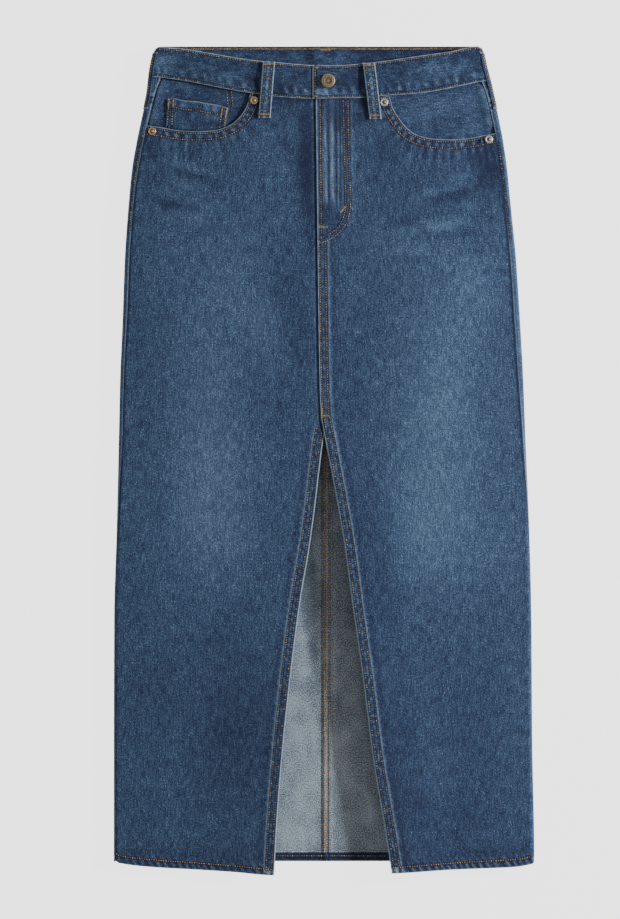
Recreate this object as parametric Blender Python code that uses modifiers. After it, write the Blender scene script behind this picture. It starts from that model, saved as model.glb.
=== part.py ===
"""A denim midi skirt with a centre-front slit, laid on its back.

The waist points to +Y, the hem to -Y, and left and right are those of someone looking down at the
front. Tables and sizes are in millimetres, and MM turns them into metres where a mesh is made.

The skirt is a flattened tube. A place on it is a side (-1 left, +1 right), a girth and a y: the girth
is the distance along the cloth from that side's fold, positive over the front and negative under the
back. Every piece is a loft of such places, and a lift moves it out from the tube, layer by layer.
"""

import bisect
import math

import bmesh
import bpy

MM = 0.001
LEFT = -1
RIGHT = 1
SETTLE_ROUNDS = 8
MERGE = 0.01 * MM

# Cloth and clearances
FIT = 0.3
WALL = 1.1
HEM_WALL = 2.2
SCOOP_WALL = 1.5
FACING_WALL = 1.0
BAND_WALL = 2.1
LOOP_WALL = 1.8

# Lifts of each layer's outer face over the tube
BAND_LIFT = 0.6
BAND_LAP = 1.3
FLY_LIFT = 0.8
TONGUE_DROP = 0.9
TONGUE_STEP = (4.5, 1.0)
FACING_LIFT = -2.0
COIN_LIFT = -0.6

# Waistband
BAND_END = -14.0
BAND_UNDERLAP = 24.0
BAND_UNDERLAP_STEP = 6.0
BAND_LAP_FADE = (26.0, 42.0)
BACK_WAIST_TOP = 486.0
BACK_WAIST_BOTTOM = 446.0
BAND_TUCK = 6.0
BAND_SETTLE = 9.0
BAND_ROWS = (0.0, 0.12, 0.3, 0.6, 1.0)
BAND_FOLD_STEPS = 8

# Centre back, yoke and hems
CENTRE_BACK = -2.5
CENTRE_BACK_FELL = 12.0
YOKE_CENTRE = 381.0
YOKE_SIDE = {LEFT: 428.0, RIGHT: 421.5}
BACK_HEM = -471.0
HEM_DEPTH = 13.0
HEM_STEP = 3.0
SCOOP_HEM = 10.0
SCOOP_STEP = 4.0
SLIT_HEM = 12.0
HEM_SLACK = 0.5

# The tube's side folds: y, left edge, right edge, radius of the fold
OUTLINE = (
    (486.0, -193.0, 179.5, 5.8),
    (482.0, -197.5, 185.5, 5.8),
    (477.0, -200.0, 187.0, 5.8),
    (461.0, -203.5, 190.5, 5.8),
    (433.0, -207.5, 198.0, 5.7),
    (404.0, -213.5, 204.5, 5.6),
    (376.0, -219.5, 210.0, 5.5),
    (341.0, -225.5, 215.0, 5.4),
    (306.0, -229.0, 218.5, 5.3),
    (235.0, -234.0, 225.5, 5.2),
    (165.0, -236.5, 230.0, 5.2),
    (94.0, -239.5, 234.0, 5.1),
    (24.0, -241.0, 236.5, 5.1),
    (-82.0, -243.5, 241.0, 5.0),
    (-188.0, -246.5, 243.5, 5.0),
    (-329.0, -246.8, 244.5, 5.0),
    (-460.0, -246.8, 246.8, 5.0),
    (-486.0, -246.8, 246.8, 5.0),
)

# How far the front stands over its folds: y, middle, left slit edge, right slit edge
RISE = (
    (486.0, 5.0, 0.0, 0.0),
    (300.0, 5.5, 0.0, 0.0),
    (120.0, 4.5, 0.0, 0.0),
    (41.0, 4.0, 0.3, 0.3),
    (-60.0, 3.5, 2.5, 4.0),
    (-250.0, 3.0, 4.0, 7.0),
    (-486.0, 2.5, 4.5, 8.0),
)
SLIT_LIFT_REACH = 60.0

# Side seams, measured in from the fold: y, left, right
SIDE_SEAM = (
    (447.0, 14.0, 11.5),
    (428.0, 10.0, 9.0),
    (400.0, 9.0, 8.5),
    (350.0, 8.0, 9.0),
    (290.0, 6.0, 7.5),
    (200.0, 6.0, 7.5),
    (110.0, 5.0, 7.0),
    (30.0, 4.8, 4.0),
    (-30.0, 3.0, 2.2),
    (-60.0, 2.0, 1.2),
    (-110.0, 0.6, 0.6),
    (-486.0, 0.4, 0.4),
)

# Waistband on the front: x, top edge, bottom seam
FRONT_WAIST = (
    (-195.0, 484.3, 448.6),
    (-169.0, 482.4, 445.0),
    (-133.0, 476.6, 438.0),
    (-101.0, 470.9, 431.8),
    (-72.0, 467.2, 427.5),
    (-53.0, 465.6, 425.0),
    (-12.0, 462.4, 422.8),
    (14.0, 462.0, 423.4),
    (46.0, 464.5, 424.0),
    (66.0, 466.7, 426.0),
    (113.0, 473.7, 429.6),
    (150.0, 479.2, 436.1),
    (179.0, 485.2, 442.5),
    (192.0, 485.8, 444.5),
)

# Pocket scoops: x, y of the panel's edge
SCOOP = {
    LEFT: (
        (-86.5, 429.3),
        (-90.5, 415.2),
        (-97.5, 403.7),
        (-106.0, 395.3),
        (-115.5, 390.0),
        (-129.0, 386.4),
        (-149.0, 385.3),
        (-169.0, 386.4),
        (-190.0, 390.0),
        (-212.0, 393.0),
    ),
    RIGHT: (
        (76.5, 426.6),
        (80.8, 411.8),
        (86.4, 402.4),
        (95.8, 390.3),
        (106.0, 382.2),
        (118.0, 378.1),
        (131.5, 376.2),
        (150.0, 375.7),
        (169.0, 377.1),
        (187.5, 380.9),
        (205.0, 384.0),
    ),
}

# Lower edge of the pocket facings, under the panels: x, y
FACING_EDGE = {
    LEFT: ((-72, 408), (-86, 398), (-98, 385), (-115, 374), (-149, 369), (-212, 377)),
    RIGHT: ((63, 406), (76, 395), (88, 380), (106, 366), (150, 359), (205, 368)),
}

# Centre front and slit: y, left panel's edge, right panel's edge
CENTRE_FRONT = (
    (424.0, 0.0, -10.0),
    (272.0, 1.8, -8.2),
    (82.0, 4.7, -5.3),
    (60.0, 5.2, -4.3),
    (50.0, 2.0, -3.7),
    (41.0, -2.8, -2.2),
    (13.5, -0.9, 3.0),
    (-12.0, -5.3, 8.0),
    (-55.0, -10.6, 16.0),
    (-103.0, -17.3, 24.0),
    (-164.0, -27.6, 32.2),
    (-252.0, -39.1, 44.6),
    (-353.0, -49.6, 57.5),
    (-431.0, -55.5, 70.8),
    (-486.0, -58.4, 79.5),
)
LAP_END = (25.0, 41.0)

# Fly stitched down over the left panel: y, width from the front edge
FLY_WIDTH = ((424.0, 40.0), (300.0, 40.0), (285.0, 36.0), (270.0, 28.0), (258.0, 12.0), (-486.0, 12.0))
FLY_STEP = 3.0

# Front hem: x, y
FRONT_HEM = (
    (-246.8, -468.0),
    (-240.0, -472.5),
    (-202.0, -477.0),
    (-147.0, -480.0),
    (-105.0, -482.5),
    (-58.0, -486.0),
    (79.0, -483.5),
    (146.0, -480.0),
    (224.0, -477.0),
    (246.8, -473.0),
)

# Soft folds of the front: start x, start y, end x, end y, half width, height
FOLDS = (
    (-205.0, 352.0, -120.0, 318.0, 12.0, 0.9),
    (-210.0, 322.0, -110.0, 282.0, 14.0, 0.8),
    (-60.0, 392.0, -25.0, 330.0, 10.0, -0.8),
    (95.0, 250.0, 200.0, 312.0, 14.0, 0.9),
    (80.0, 286.0, 195.0, 350.0, 12.0, 0.8),
    (55.0, 330.0, 75.0, 392.0, 10.0, -0.7),
    (-170.0, -250.0, -190.0, -500.0, 26.0, 1.1),
    (-110.0, -120.0, -120.0, -500.0, 30.0, -0.9),
    (120.0, -200.0, 140.0, -500.0, 28.0, 1.1),
    (185.0, -60.0, 200.0, -500.0, 26.0, -0.9),
)

# Lofts: rows of the long panels below the pockets, and places across them
PANEL_ROWS = (345, 305, 285, 270, 257, 235, 195, 150, 105, 75, 60, 50, 41, 25, 5, -30, -75, -120, -165,
              -210, -255, -300, -350, -400, -440)
BACK_ROWS = (345, 305, 270, 235, 195, 150, 105, 60, 25, 5, -30, -75, -120, -165, -255, -350, -440)
SIDE_PLACES = (0.0, 2.2, 4.4, 7.0, 12.0, 24.0)
CENTRE_PLACES = {LEFT: (34.0, 15.0, 11.0, 5.5, 0.0), RIGHT: (44.0, 40.0, 14.0, 12.0, 6.0, 0.0)}
TOP_PLACES = {
    LEFT: (-188.0, -169.0, -149.0, -129.0, -115.5, -106.0, -97.5, -90.5, -86.5, -78.0, -55.0),
    RIGHT: (184.0, 169.0, 150.0, 131.5, 118.0, 106.0, 95.8, 86.4, 80.8, 76.5, 69.0, 52.0),
}
TOP_ZONE = 345.0
EVEN_ZONE = 200.0
UPPER_ROW = 0.55
BACK_UPPER_ROWS = (0.25, 0.5, 0.75)
YOKE_ROWS = (0.5, 0.75)
FACING_ROWS = (0.0, 0.12, 0.4, 0.7, 1.0)
FACING_COLUMNS = 10
FOLD_STEPS = 10
BACK_PLACES = (90.0, 45.0, 28.0, CENTRE_BACK_FELL, FIT / 2)

# Belt loops: the two on the front have x at the top and at the bottom
LOOP_WIDTH = 14.5
FRONT_LOOPS = {"left": (LEFT, -64.6, -69.9), "right": (RIGHT, 52.2, 60.2)}
LOOP_DROP = 66.0
SIDE_LOOP_ARC = (-30.0, 80.0)
SIDE_LOOP_STEPS = 5
SIDE_LOOP_TOP = 478.0
BACK_LOOP_X = 2.0
BACK_LOOP_ENDS = (484.0, 420.0)
BACK_LOOP_ROOM = 2.2
BACK_LOOP_FADE = (12.0, 26.0)
BACK_LOOP_FOOT = (398.0, 412.0)
# Clearance under a loop: distance down from its top, gap over the tube
LOOP_ARCH = ((0, 1.0), (10, 1.7), (22, 2.1), (33, 1.9), (42, 1.3), (52, 0.7), (60, 0.4), (LOOP_DROP, 0.4))

# Metal: radius, height of the turned profiles, top to bottom
BUTTON_AT = (4.7, 443.6)
BUTTON_PROFILE = ((0.0, 3.1), (2.6, 3.0), (5.9, 2.8), (6.8, 3.3), (7.8, 3.0), (8.2, 2.2), (7.9, 1.4),
                  (3.6, 1.2), (3.6, 0.0), (0.0, 0.0))
RIVET_PROFILE = ((0.0, 1.7), (1.2, 1.6), (2.2, 1.1), (3.2, 1.0), (4.0, 1.2), (4.6, 0.7), (4.6, 0.0),
                 (0.0, 0.0))
RIVETS = {
    "rivet_left_inner": (-81.9, 421.0),
    "rivet_left_outer": (-201.5, 385.4),
    "rivet_right_inner": (70.2, 418.8),
    "rivet_right_outer": (193.0, 376.0),
}
BUTTON_STEPS = 24
RIVET_STEPS = 16
SLOPE_REACH = 3.0

# Coin pocket on the left facing: x at the top corners, how far its sides lean by its foot, top edge
COIN_SIDES = (-183.5, -112.0)
COIN_LEAN = (-2.0, -4.0)
COIN_CLEAR = 0.8
COIN_TOP = ((-184.0, 423.4), (-172.0, 422.8), (-139.0, 418.0), (-110.0, 411.6))
COIN_ROWS = (0.0, 0.3, 0.65, 1.0)
COIN_COLUMNS = 8

# Materials: base colour, roughness, metallic
FINISHES = {
    "denim": ((0.045, 0.085, 0.150), 0.85, 0.0),
    "brass": ((0.260, 0.190, 0.110), 0.42, 1.0),
    "copper": ((0.420, 0.300, 0.220), 0.38, 1.0),
}


def clamp(value, low, high):
    return max(low, min(high, value))


def ramp(value, start, end):
    """A smooth step from 0 at start to 1 at end."""
    t = clamp((value - start) / (end - start), 0.0, 1.0)
    return t * t * (3.0 - 2.0 * t)


def mix(a, b, t):
    return a + (b - a) * t


def read(table, at, column=1):
    """Reads a column of a table between its rows, on a smooth curve that never overshoots them."""
    rows = sorted(table)
    keys = [row[0] for row in rows]
    values = [row[column] for row in rows]
    if at <= keys[0]:
        return values[0]
    if at >= keys[-1]:
        return values[-1]
    slopes = [(b - a) / (k - j) for a, b, j, k in zip(values, values[1:], keys, keys[1:])]
    tangents = [slopes[0]]
    for before, after in zip(slopes, slopes[1:]):
        tangents.append(2.0 * before * after / (before + after) if before * after > 0.0 else 0.0)
    tangents.append(slopes[-1])
    i = bisect.bisect_right(keys, at) - 1
    span = keys[i + 1] - keys[i]
    t = (at - keys[i]) / span
    start = values[i] + span * t * (1.0 - t) ** 2 * tangents[i]
    end = -span * t * t * (1.0 - t) * tangents[i + 1]
    return start + (values[i + 1] - values[i]) * t * t * (3.0 - 2.0 * t) + end


def fold_edge(side, y):
    """Distance of a side's fold from the middle line, and the fold's radius."""
    return side * read(OUTLINE, y, 1 if side == LEFT else 2), read(OUTLINE, y, 3)


def quarter_turn(side, y):
    """The girth at which the fold ends and the front begins."""
    return fold_edge(side, y)[1] * math.pi / 2.0


def soft_folds(x, y):
    """Height that the soft folds add: a ridge or trough along each line, fading at its ends."""
    total = 0.0
    for x0, y0, x1, y1, half_width, height in FOLDS:
        length = math.hypot(x1 - x0, y1 - y0)
        along = ((x - x0) * (x1 - x0) + (y - y0) * (y1 - y0)) / length
        across = ((x - x0) * (y1 - y0) - (y - y0) * (x1 - x0)) / length
        t = clamp(along / length, 0.0, 1.0)
        total += height * math.exp(-((across / half_width) ** 2)) * math.sin(math.pi * t) ** 2
    return total


def slit_lift(x, y):
    """How far the front's slit edges stand over the rest of the front."""
    left_edge, right_edge = read(CENTRE_FRONT, y, 1), read(CENTRE_FRONT, y, 2)
    is_left = x < mix(left_edge, right_edge, 0.5)
    edge = left_edge if is_left else right_edge
    return read(RISE, y, 2 if is_left else 3) * math.exp(-(((x - edge) / SLIT_LIFT_REACH) ** 2))


def front_height(x, y):
    left, left_radius = fold_edge(LEFT, y)
    right, right_radius = fold_edge(RIGHT, y)
    low = left_radius - left
    high = right - right_radius
    across = clamp((2.0 * x - low - high) / (high - low), -1.0, 1.0)
    dome = (1.0 - across**4) ** 2
    base = mix(2.0 * left_radius, 2.0 * right_radius, (across + 1.0) / 2.0)
    return base + dome * (read(RISE, y) + soft_folds(x, y)) + slit_lift(x, y)


def back_height(x, y):
    """The back lies on the ground, but for the room that the centre-back belt loop takes up."""
    beside = 1.0 - ramp(abs(x - BACK_LOOP_X), *BACK_LOOP_FADE)
    return BACK_LOOP_ROOM * beside * ramp(y, *BACK_LOOP_FOOT)


def place(side, girth, y, lift=0.0):
    """The point of the tube at a girth and a y, moved out by a lift."""
    edge, radius = fold_edge(side, y)
    quarter = quarter_turn(side, y)
    if girth > quarter:
        x = side * (edge - radius - (girth - quarter))
        return (x, y, front_height(x, y) + lift)
    if girth < -quarter:
        x = side * (edge - radius + (girth + quarter))
        return (x, y, back_height(x, y) - lift)
    angle = girth / radius
    reach = radius + lift
    return (side * (edge - radius + reach * math.cos(angle)), y, radius + reach * math.sin(angle))


def front_girth(side, x, y):
    """The girth at which the front passes over x."""
    edge, radius = fold_edge(side, y)
    past = side * x - (edge - radius)
    if past > 0.0:
        return radius * math.acos(clamp(past / radius, -1.0, 1.0))
    return quarter_turn(side, y) - past


def back_girth(side, x, y):
    """The girth at which the back passes under x."""
    edge, radius = fold_edge(side, y)
    return -quarter_turn(side, y) - (edge - radius - side * x)


def seam_girth(side, y):
    """The girth of the side seam, which lies a little way onto the front."""
    edge, _ = fold_edge(side, y)
    return front_girth(side, side * (edge - read(SIDE_SEAM, y, 1 if side == LEFT else 2)), y)


def band_edge(side, girth, y, column):
    """The y of the waistband's top (column 1) or bottom seam (column 2) at a girth."""
    x, _, _ = place(side, girth, y)
    front = read(FRONT_WAIST, x, column)
    back = BACK_WAIST_TOP if column == 1 else BACK_WAIST_BOTTOM
    quarter = quarter_turn(side, y)
    return mix(back, front, ramp(girth, -quarter, quarter))


def yoke_edge(side, girth, y):
    """The y of the yoke seam: level round the fold, then sloping down to the centre back."""
    under = -quarter_turn(side, y)
    centre = back_girth(side, CENTRE_BACK, y)
    return mix(YOKE_SIDE[side], YOKE_CENTRE, clamp((girth - under) / (centre - under), 0.0, 1.0))


def settle(rule, y):
    """Solves y = rule(y) for an edge whose y depends on where it lies."""
    for _ in range(SETTLE_ROUNDS):
        y = rule(y)
    return y


def finish(name):
    """The Principled material of one of the finishes."""
    color, roughness, metallic = FINISHES[name]
    material = bpy.data.materials.new(name)
    material.use_nodes = True
    shader = material.node_tree.nodes["Principled BSDF"]
    shader.inputs["Base Color"].default_value = (*color, 1.0)
    shader.inputs["Roughness"].default_value = roughness
    shader.inputs["Metallic"].default_value = metallic
    material.diffuse_color = (*color, 1.0)
    return material


def add_object(name, mesh, collection, finish_name):
    piece = bpy.data.objects.new(name, mesh)
    mesh.materials.append(finish(finish_name))
    mesh.shade_smooth()
    collection.objects.link(piece)
    return piece


def layer(side, girth, y, lift, wall):
    """The outer and inner points of a cloth wall at a place."""
    return place(side, girth, y, lift), place(side, girth, y, lift - wall)


def add_cloth(name, columns, collection, turned):
    """A cloth piece: a loft through its columns, each a section down the outer face and up the inner."""
    mesh = bpy.data.meshes.new(name)
    net = bmesh.new()
    sections = []
    for column in columns:
        loop = [outer for outer, _ in column] + [inner for _, inner in reversed(column)]
        sections.append([net.verts.new([MM * value for value in point]) for point in loop])
    for near, far in zip(sections, sections[1:]):
        for a, b, c, d in zip(near, far, far[1:] + far[:1], near[1:] + near[:1]):
            net.faces.new((a, b, c, d) if turned else (d, c, b, a))
    for section, outward in ((sections[0], turned), (sections[-1], not turned)):
        for i in range(len(section) // 2 - 1):
            a, b, c, d = section[i], section[i + 1], section[-2 - i], section[-1 - i]
            net.faces.new((a, b, c, d) if outward else (d, c, b, a))
    net.to_mesh(mesh)
    net.free()
    return add_object(name, mesh, collection, "denim")


def add_turned(name, profile, steps, at, lift, collection, finish_name):
    """A turned metal piece, seated square on the front at a place."""
    mesh = bpy.data.meshes.new(name)
    points = [(radius * MM, 0.0, height * MM) for radius, height in profile]
    mesh.from_pydata(points, [(i, i + 1) for i in range(len(points) - 1)], [])
    piece = add_object(name, mesh, collection, finish_name)
    turn = piece.modifiers.new("turn", "SCREW")
    turn.steps = steps
    turn.render_steps = steps
    turn.use_merge_vertices = True
    turn.merge_threshold = MERGE
    x, y = at
    rise_x = front_height(x + SLOPE_REACH, y) - front_height(x - SLOPE_REACH, y)
    rise_y = front_height(x, y + SLOPE_REACH) - front_height(x, y - SLOPE_REACH)
    piece.location = (x * MM, y * MM, (front_height(x, y) + lift) * MM)
    run = 2.0 * SLOPE_REACH
    piece.rotation_euler = (math.atan2(rise_y, run), -math.atan2(rise_x, run), 0.0)
    return piece


def panel_top(side, x):
    """The front panel's upper edge: the pocket scoop, then the waistband seam."""
    inner = SCOOP[side][0][0]
    if side * x >= side * inner:
        return read(SCOOP[side], x)
    return read(FRONT_WAIST, x, 2) - FIT


def front_places(side, y):
    """Girths across a front panel at a y, from the side seam to the centre-front or slit edge."""
    start = seam_girth(side, y) + FIT / 2.0
    sides = [start + offset for offset in SIDE_PLACES]
    edge = front_girth(side, read(CENTRE_FRONT, y, 1 if side == LEFT else 2), y)
    centres = [edge - offset for offset in CENTRE_PLACES[side]]
    count = len(TOP_PLACES[side])
    even = 1.0 - ramp(y, EVEN_ZONE, TOP_ZONE)
    middles = []
    for k, x in enumerate(TOP_PLACES[side]):
        spaced = mix(sides[-1], centres[0], (k + 1) / (count + 1))
        middles.append(mix(front_girth(side, x, y), spaced, even))
    return sides + middles + centres


def front_lift(side, x, y):
    """The right panel's fly and seam lap stand over the left panel, whose tongue drops under them."""
    lap = ramp(y, *LAP_END)
    edge = read(CENTRE_FRONT, y, 2)
    if side == LEFT:
        return -TONGUE_DROP * lap * ramp(x, *(edge - step for step in TONGUE_STEP))
    width = read(FLY_WIDTH, y)
    return FLY_LIFT * lap * (1.0 - ramp(x, edge + width, edge + width + FLY_STEP))


def front_wall(side, x, y, top, bottom):
    """Thickness at a place: doubled at the hem and slit edge, and thicker along the scoop."""
    edge = read(CENTRE_FRONT, y, 1 if side == LEFT else 2)
    if y < bottom + HEM_DEPTH + HEM_SLACK:
        return HEM_WALL
    if side * (x - edge) < SLIT_HEM + HEM_SLACK:
        return mix(HEM_WALL, WALL, ramp(y, *LAP_END))
    if side * (x - SCOOP[side][0][0]) > -HEM_SLACK and y > top - SCOOP_HEM - HEM_SLACK:
        return SCOOP_WALL
    return WALL


def front_panel(side, name, collection):
    columns = []
    for k in range(len(front_places(side, TOP_ZONE))):
        def x_at(y, k=k):
            return place(side, front_places(side, y)[k], y)[0]

        top = settle(lambda y: panel_top(side, x_at(y)), TOP_ZONE)
        bottom = settle(lambda y: read(FRONT_HEM, x_at(y)), BACK_HEM)
        scoop = top - SCOOP_HEM
        hem = bottom + HEM_DEPTH
        rows = [top, scoop, scoop - SCOOP_STEP, mix(scoop, TOP_ZONE, UPPER_ROW)]
        rows += [*PANEL_ROWS, hem + HEM_STEP, hem, bottom]
        column = []
        for y in rows:
            x = x_at(y)
            wall = front_wall(side, x, y, top, bottom)
            column.append(layer(side, front_places(side, y)[k], y, front_lift(side, x, y), wall))
        columns.append(column)
    return add_cloth(name, columns, collection, side == RIGHT)


def back_places(side, y):
    """Girths across a back panel or yoke at a y, from the side seam round to the centre back."""
    start = seam_girth(side, y) - FIT / 2.0
    under = -quarter_turn(side, y)
    round_fold = [mix(start, under, step / FOLD_STEPS) for step in range(FOLD_STEPS + 1)]
    centre = back_girth(side, CENTRE_BACK, y)
    return round_fold + [centre + offset for offset in BACK_PLACES]


def back_piece(side, name, top_rule, bottom_rule, inner_rows, hemmed, collection):
    """A back panel or yoke between two edges, with plain rows between them."""
    count = len(back_places(side, TOP_ZONE))
    columns = []
    for k in range(count):
        felled = side == RIGHT and k >= count - 2
        top = settle(lambda y: top_rule(side, back_places(side, y)[k], y), TOP_ZONE)
        bottom = settle(lambda y: bottom_rule(side, back_places(side, y)[k], y), TOP_ZONE)
        column = []
        for y in (top, *inner_rows(top, bottom), bottom):
            doubled = felled or (hemmed and y < bottom + HEM_DEPTH + HEM_SLACK)
            column.append(layer(side, back_places(side, y)[k], y, 0.0, HEM_WALL if doubled else WALL))
        columns.append(column)
    return add_cloth(name, columns, collection, side == LEFT)


def yoke(side, name, collection):
    return back_piece(
        side,
        name,
        lambda side, girth, y: band_edge(side, girth, y, 2) - FIT,
        yoke_edge,
        lambda top, bottom: [mix(top, bottom, t) for t in YOKE_ROWS],
        False,
        collection,
    )


def back_panel(side, name, collection):
    return back_piece(
        side,
        name,
        lambda side, girth, y: yoke_edge(side, girth, y) - FIT,
        lambda side, girth, y: BACK_HEM,
        lambda top, bottom: [
            *(mix(top, TOP_ZONE, t) for t in BACK_UPPER_ROWS),
            *BACK_ROWS,
            bottom + HEM_DEPTH + HEM_STEP,
            bottom + HEM_DEPTH,
        ],
        True,
        collection,
    )


def band_stations():
    """Sides and girth rules round the waistband, from its lapped right end to its underlap."""

    def over(side, *places):
        return [(side, lambda y, x=x: front_girth(side, x, y)) for x in places]

    def under(side, *places):
        return [(side, lambda y, x=x: back_girth(side, x, y)) for x in places]

    def fold(side, parts):
        return [(side, lambda y, part=part: quarter_turn(side, y) * part) for part in parts]

    def beside(side, *offsets):
        return [(side, lambda y, offset=offset: quarter_turn(side, y) + offset) for offset in offsets]

    parts = [1.0 - 2.0 * step / BAND_FOLD_STEPS for step in range(BAND_FOLD_STEPS + 1)]
    return [
        *over(RIGHT, BAND_END, 4.0, 16.0, 26.0, 34.0, 42.0, 70.0, 98.0, 125.0, 145.0),
        *beside(RIGHT, 20.0, 8.0),
        *fold(RIGHT, parts),
        *under(RIGHT, 140.0, 90.0, 45.0, 28.0, 14.0, BACK_LOOP_X),
        *under(LEFT, -10.0, -24.0, -45.0, -90.0, -140.0),
        *fold(LEFT, parts[::-1]),
        *beside(LEFT, 8.0, 20.0),
        *over(LEFT, -155.0, -130.0, -100.0, -72.0, -46.0, -30.0),
        *over(LEFT, BAND_END - BAND_UNDERLAP_STEP, BAND_END - FIT, 5.0, BAND_UNDERLAP),
    ]


def band_lift(side, girth, x):
    """The band stands over the front, where its lapped end rides up and its underlap drops beneath it."""
    if girth <= 0.0:
        return BAND_LIFT * ramp(girth, -BAND_SETTLE, 0.0)
    if side == RIGHT:
        return BAND_LIFT + BAND_LAP * (1.0 - ramp(x, *BAND_LAP_FADE))
    return BAND_LIFT - BAND_LAP * ramp(x, BAND_END - BAND_UNDERLAP_STEP, BAND_END - FIT)


def waistband(collection):
    columns = []
    for side, girth_at in band_stations():
        top = settle(lambda y: band_edge(side, girth_at(y), y, 1), BACK_WAIST_TOP)
        bottom = settle(lambda y: band_edge(side, girth_at(y), y, 2), BACK_WAIST_BOTTOM)
        column = []
        for t in BAND_ROWS:
            y = mix(top, bottom, t)
            girth = girth_at(y)
            x = place(side, girth, y)[0]
            column.append(layer(side, girth, y, band_lift(side, girth, x), BAND_WALL))
        columns.append(column)
    return add_cloth("waistband", columns, collection, False)


def pocket_facing(side, name, collection):
    """The denim inside a scoop, from under the waistband to below the panel's edge."""
    first = FACING_EDGE[side][0][0]
    columns = []
    for k in range(FACING_COLUMNS + 1):
        def girth_at(y, k=k):
            return mix(seam_girth(side, y) + FIT, front_girth(side, first, y), k / FACING_COLUMNS)

        def x_at(y):
            return place(side, girth_at(y), y)[0]

        top = settle(lambda y: read(FRONT_WAIST, x_at(y), 2) + BAND_TUCK, TOP_ZONE)
        bottom = settle(lambda y: read(FACING_EDGE[side], x_at(y)), TOP_ZONE)
        rows = [mix(top, bottom, t) for t in FACING_ROWS]
        columns.append([layer(side, girth_at(y), y, FACING_LIFT, FACING_WALL) for y in rows])
    return add_cloth(name, columns, collection, side == RIGHT)


def coin_pocket(collection):
    columns = []
    for k in range(COIN_COLUMNS + 1):
        top_x = mix(*COIN_SIDES, k / COIN_COLUMNS)
        foot_x = top_x + mix(*COIN_LEAN, k / COIN_COLUMNS)
        top = read(COIN_TOP, top_x)
        foot = read(SCOOP[LEFT], foot_x) + COIN_CLEAR
        column = []
        for t in COIN_ROWS:
            x, y = mix(top_x, foot_x, t), mix(top, foot, t)
            column.append(layer(LEFT, front_girth(LEFT, x, y), y, COIN_LIFT, FACING_WALL))
        columns.append(column)
    return add_cloth("coin_pocket", columns, collection, False)


def belt_loop(name, side, girths_at, top, collection):
    """A loop from the waistband's top edge to the panel below it, arched a little over the band."""
    columns = []
    steps = len(girths_at(top, 0.0))
    for k in range(steps):
        column = []
        for drop, gap in LOOP_ARCH:
            y = top - drop
            girth = girths_at(y, drop / LOOP_DROP)[k]
            column.append(layer(side, girth, y, gap + LOOP_WALL, LOOP_WALL))
        columns.append(column)
    return add_cloth(name, columns, collection, side == RIGHT)


def front_loops(collection):
    for name, (side, top_x, bottom_x) in FRONT_LOOPS.items():
        def girths_at(y, t, side=side, top_x=top_x, bottom_x=bottom_x):
            middle = front_girth(side, mix(top_x, bottom_x, t), y)
            return [middle + LOOP_WIDTH * part for part in (-0.5, 0.0, 0.5)]

        top = read(FRONT_WAIST, top_x, 1) - FIT
        belt_loop(f"belt_loop_front_{name}", side, girths_at, top, collection)


def side_loops(collection):
    for name, side in (("left", LEFT), ("right", RIGHT)):
        def girths_at(y, t, side=side):
            radius = fold_edge(side, y)[1]
            parts = (step / SIDE_LOOP_STEPS for step in range(SIDE_LOOP_STEPS + 1))
            return [radius * math.radians(mix(*SIDE_LOOP_ARC, part)) for part in parts]

        belt_loop(f"belt_loop_side_{name}", side, girths_at, SIDE_LOOP_TOP, collection)


def back_loop(collection):
    """The centre-back loop, flush with the ground under the waistband and yoke."""
    mesh = bpy.data.meshes.new("belt_loop_back")
    net = bmesh.new()
    bmesh.ops.create_cube(net, size=1.0)
    high, low = BACK_LOOP_ENDS
    size = (LOOP_WIDTH * MM, (high - low) * MM, LOOP_WALL * MM)
    middle = (BACK_LOOP_X * MM, (high + low) / 2.0 * MM, LOOP_WALL / 2.0 * MM)
    bmesh.ops.scale(net, vec=size, verts=net.verts)
    bmesh.ops.translate(net, vec=middle, verts=net.verts)
    net.to_mesh(mesh)
    net.free()
    return add_object("belt_loop_back", mesh, collection, "denim")


def build():
    for old in list(bpy.data.objects):
        bpy.data.objects.remove(old, do_unlink=True)
    collection = bpy.data.collections.new("denim_skirt")
    bpy.context.scene.collection.children.link(collection)
    waistband(collection)
    for name, side in (("left", LEFT), ("right", RIGHT)):
        front_panel(side, f"front_panel_{name}", collection)
        pocket_facing(side, f"pocket_facing_{name}", collection)
        yoke(side, f"back_yoke_{name}", collection)
        back_panel(side, f"back_panel_{name}", collection)
    coin_pocket(collection)
    front_loops(collection)
    side_loops(collection)
    back_loop(collection)
    band_top = BAND_LIFT + BAND_LAP + FIT
    add_turned("waist_button", BUTTON_PROFILE, BUTTON_STEPS, BUTTON_AT, band_top, collection, "brass")
    for name, at in RIVETS.items():
        add_turned(name, RIVET_PROFILE, RIVET_STEPS, at, FIT, collection, "copper")


build()
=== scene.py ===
"""Looks of a denim midi skirt with a centre-front slit, laid flat on its back.

The waist points to +Y and the hem to -Y. Tables and sizes are in millimetres, and MM turns them into
metres where a mesh is made. A place on the cloth is a side, a girth and a y: the girth is the distance
along the cloth from that side's fold, positive over the front and negative under the back, and a lift
moves the place out from the flattened tube. Left and right are those of someone looking down at it.
"""

import logging
import math
from dataclasses import dataclass, field
from enum import Enum, IntEnum
from typing import Callable, Iterable, Optional, Sequence, TypeVar

import bmesh
import bpy
import numpy as np
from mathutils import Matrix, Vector
from mathutils.bvhtree import BVHTree


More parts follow.
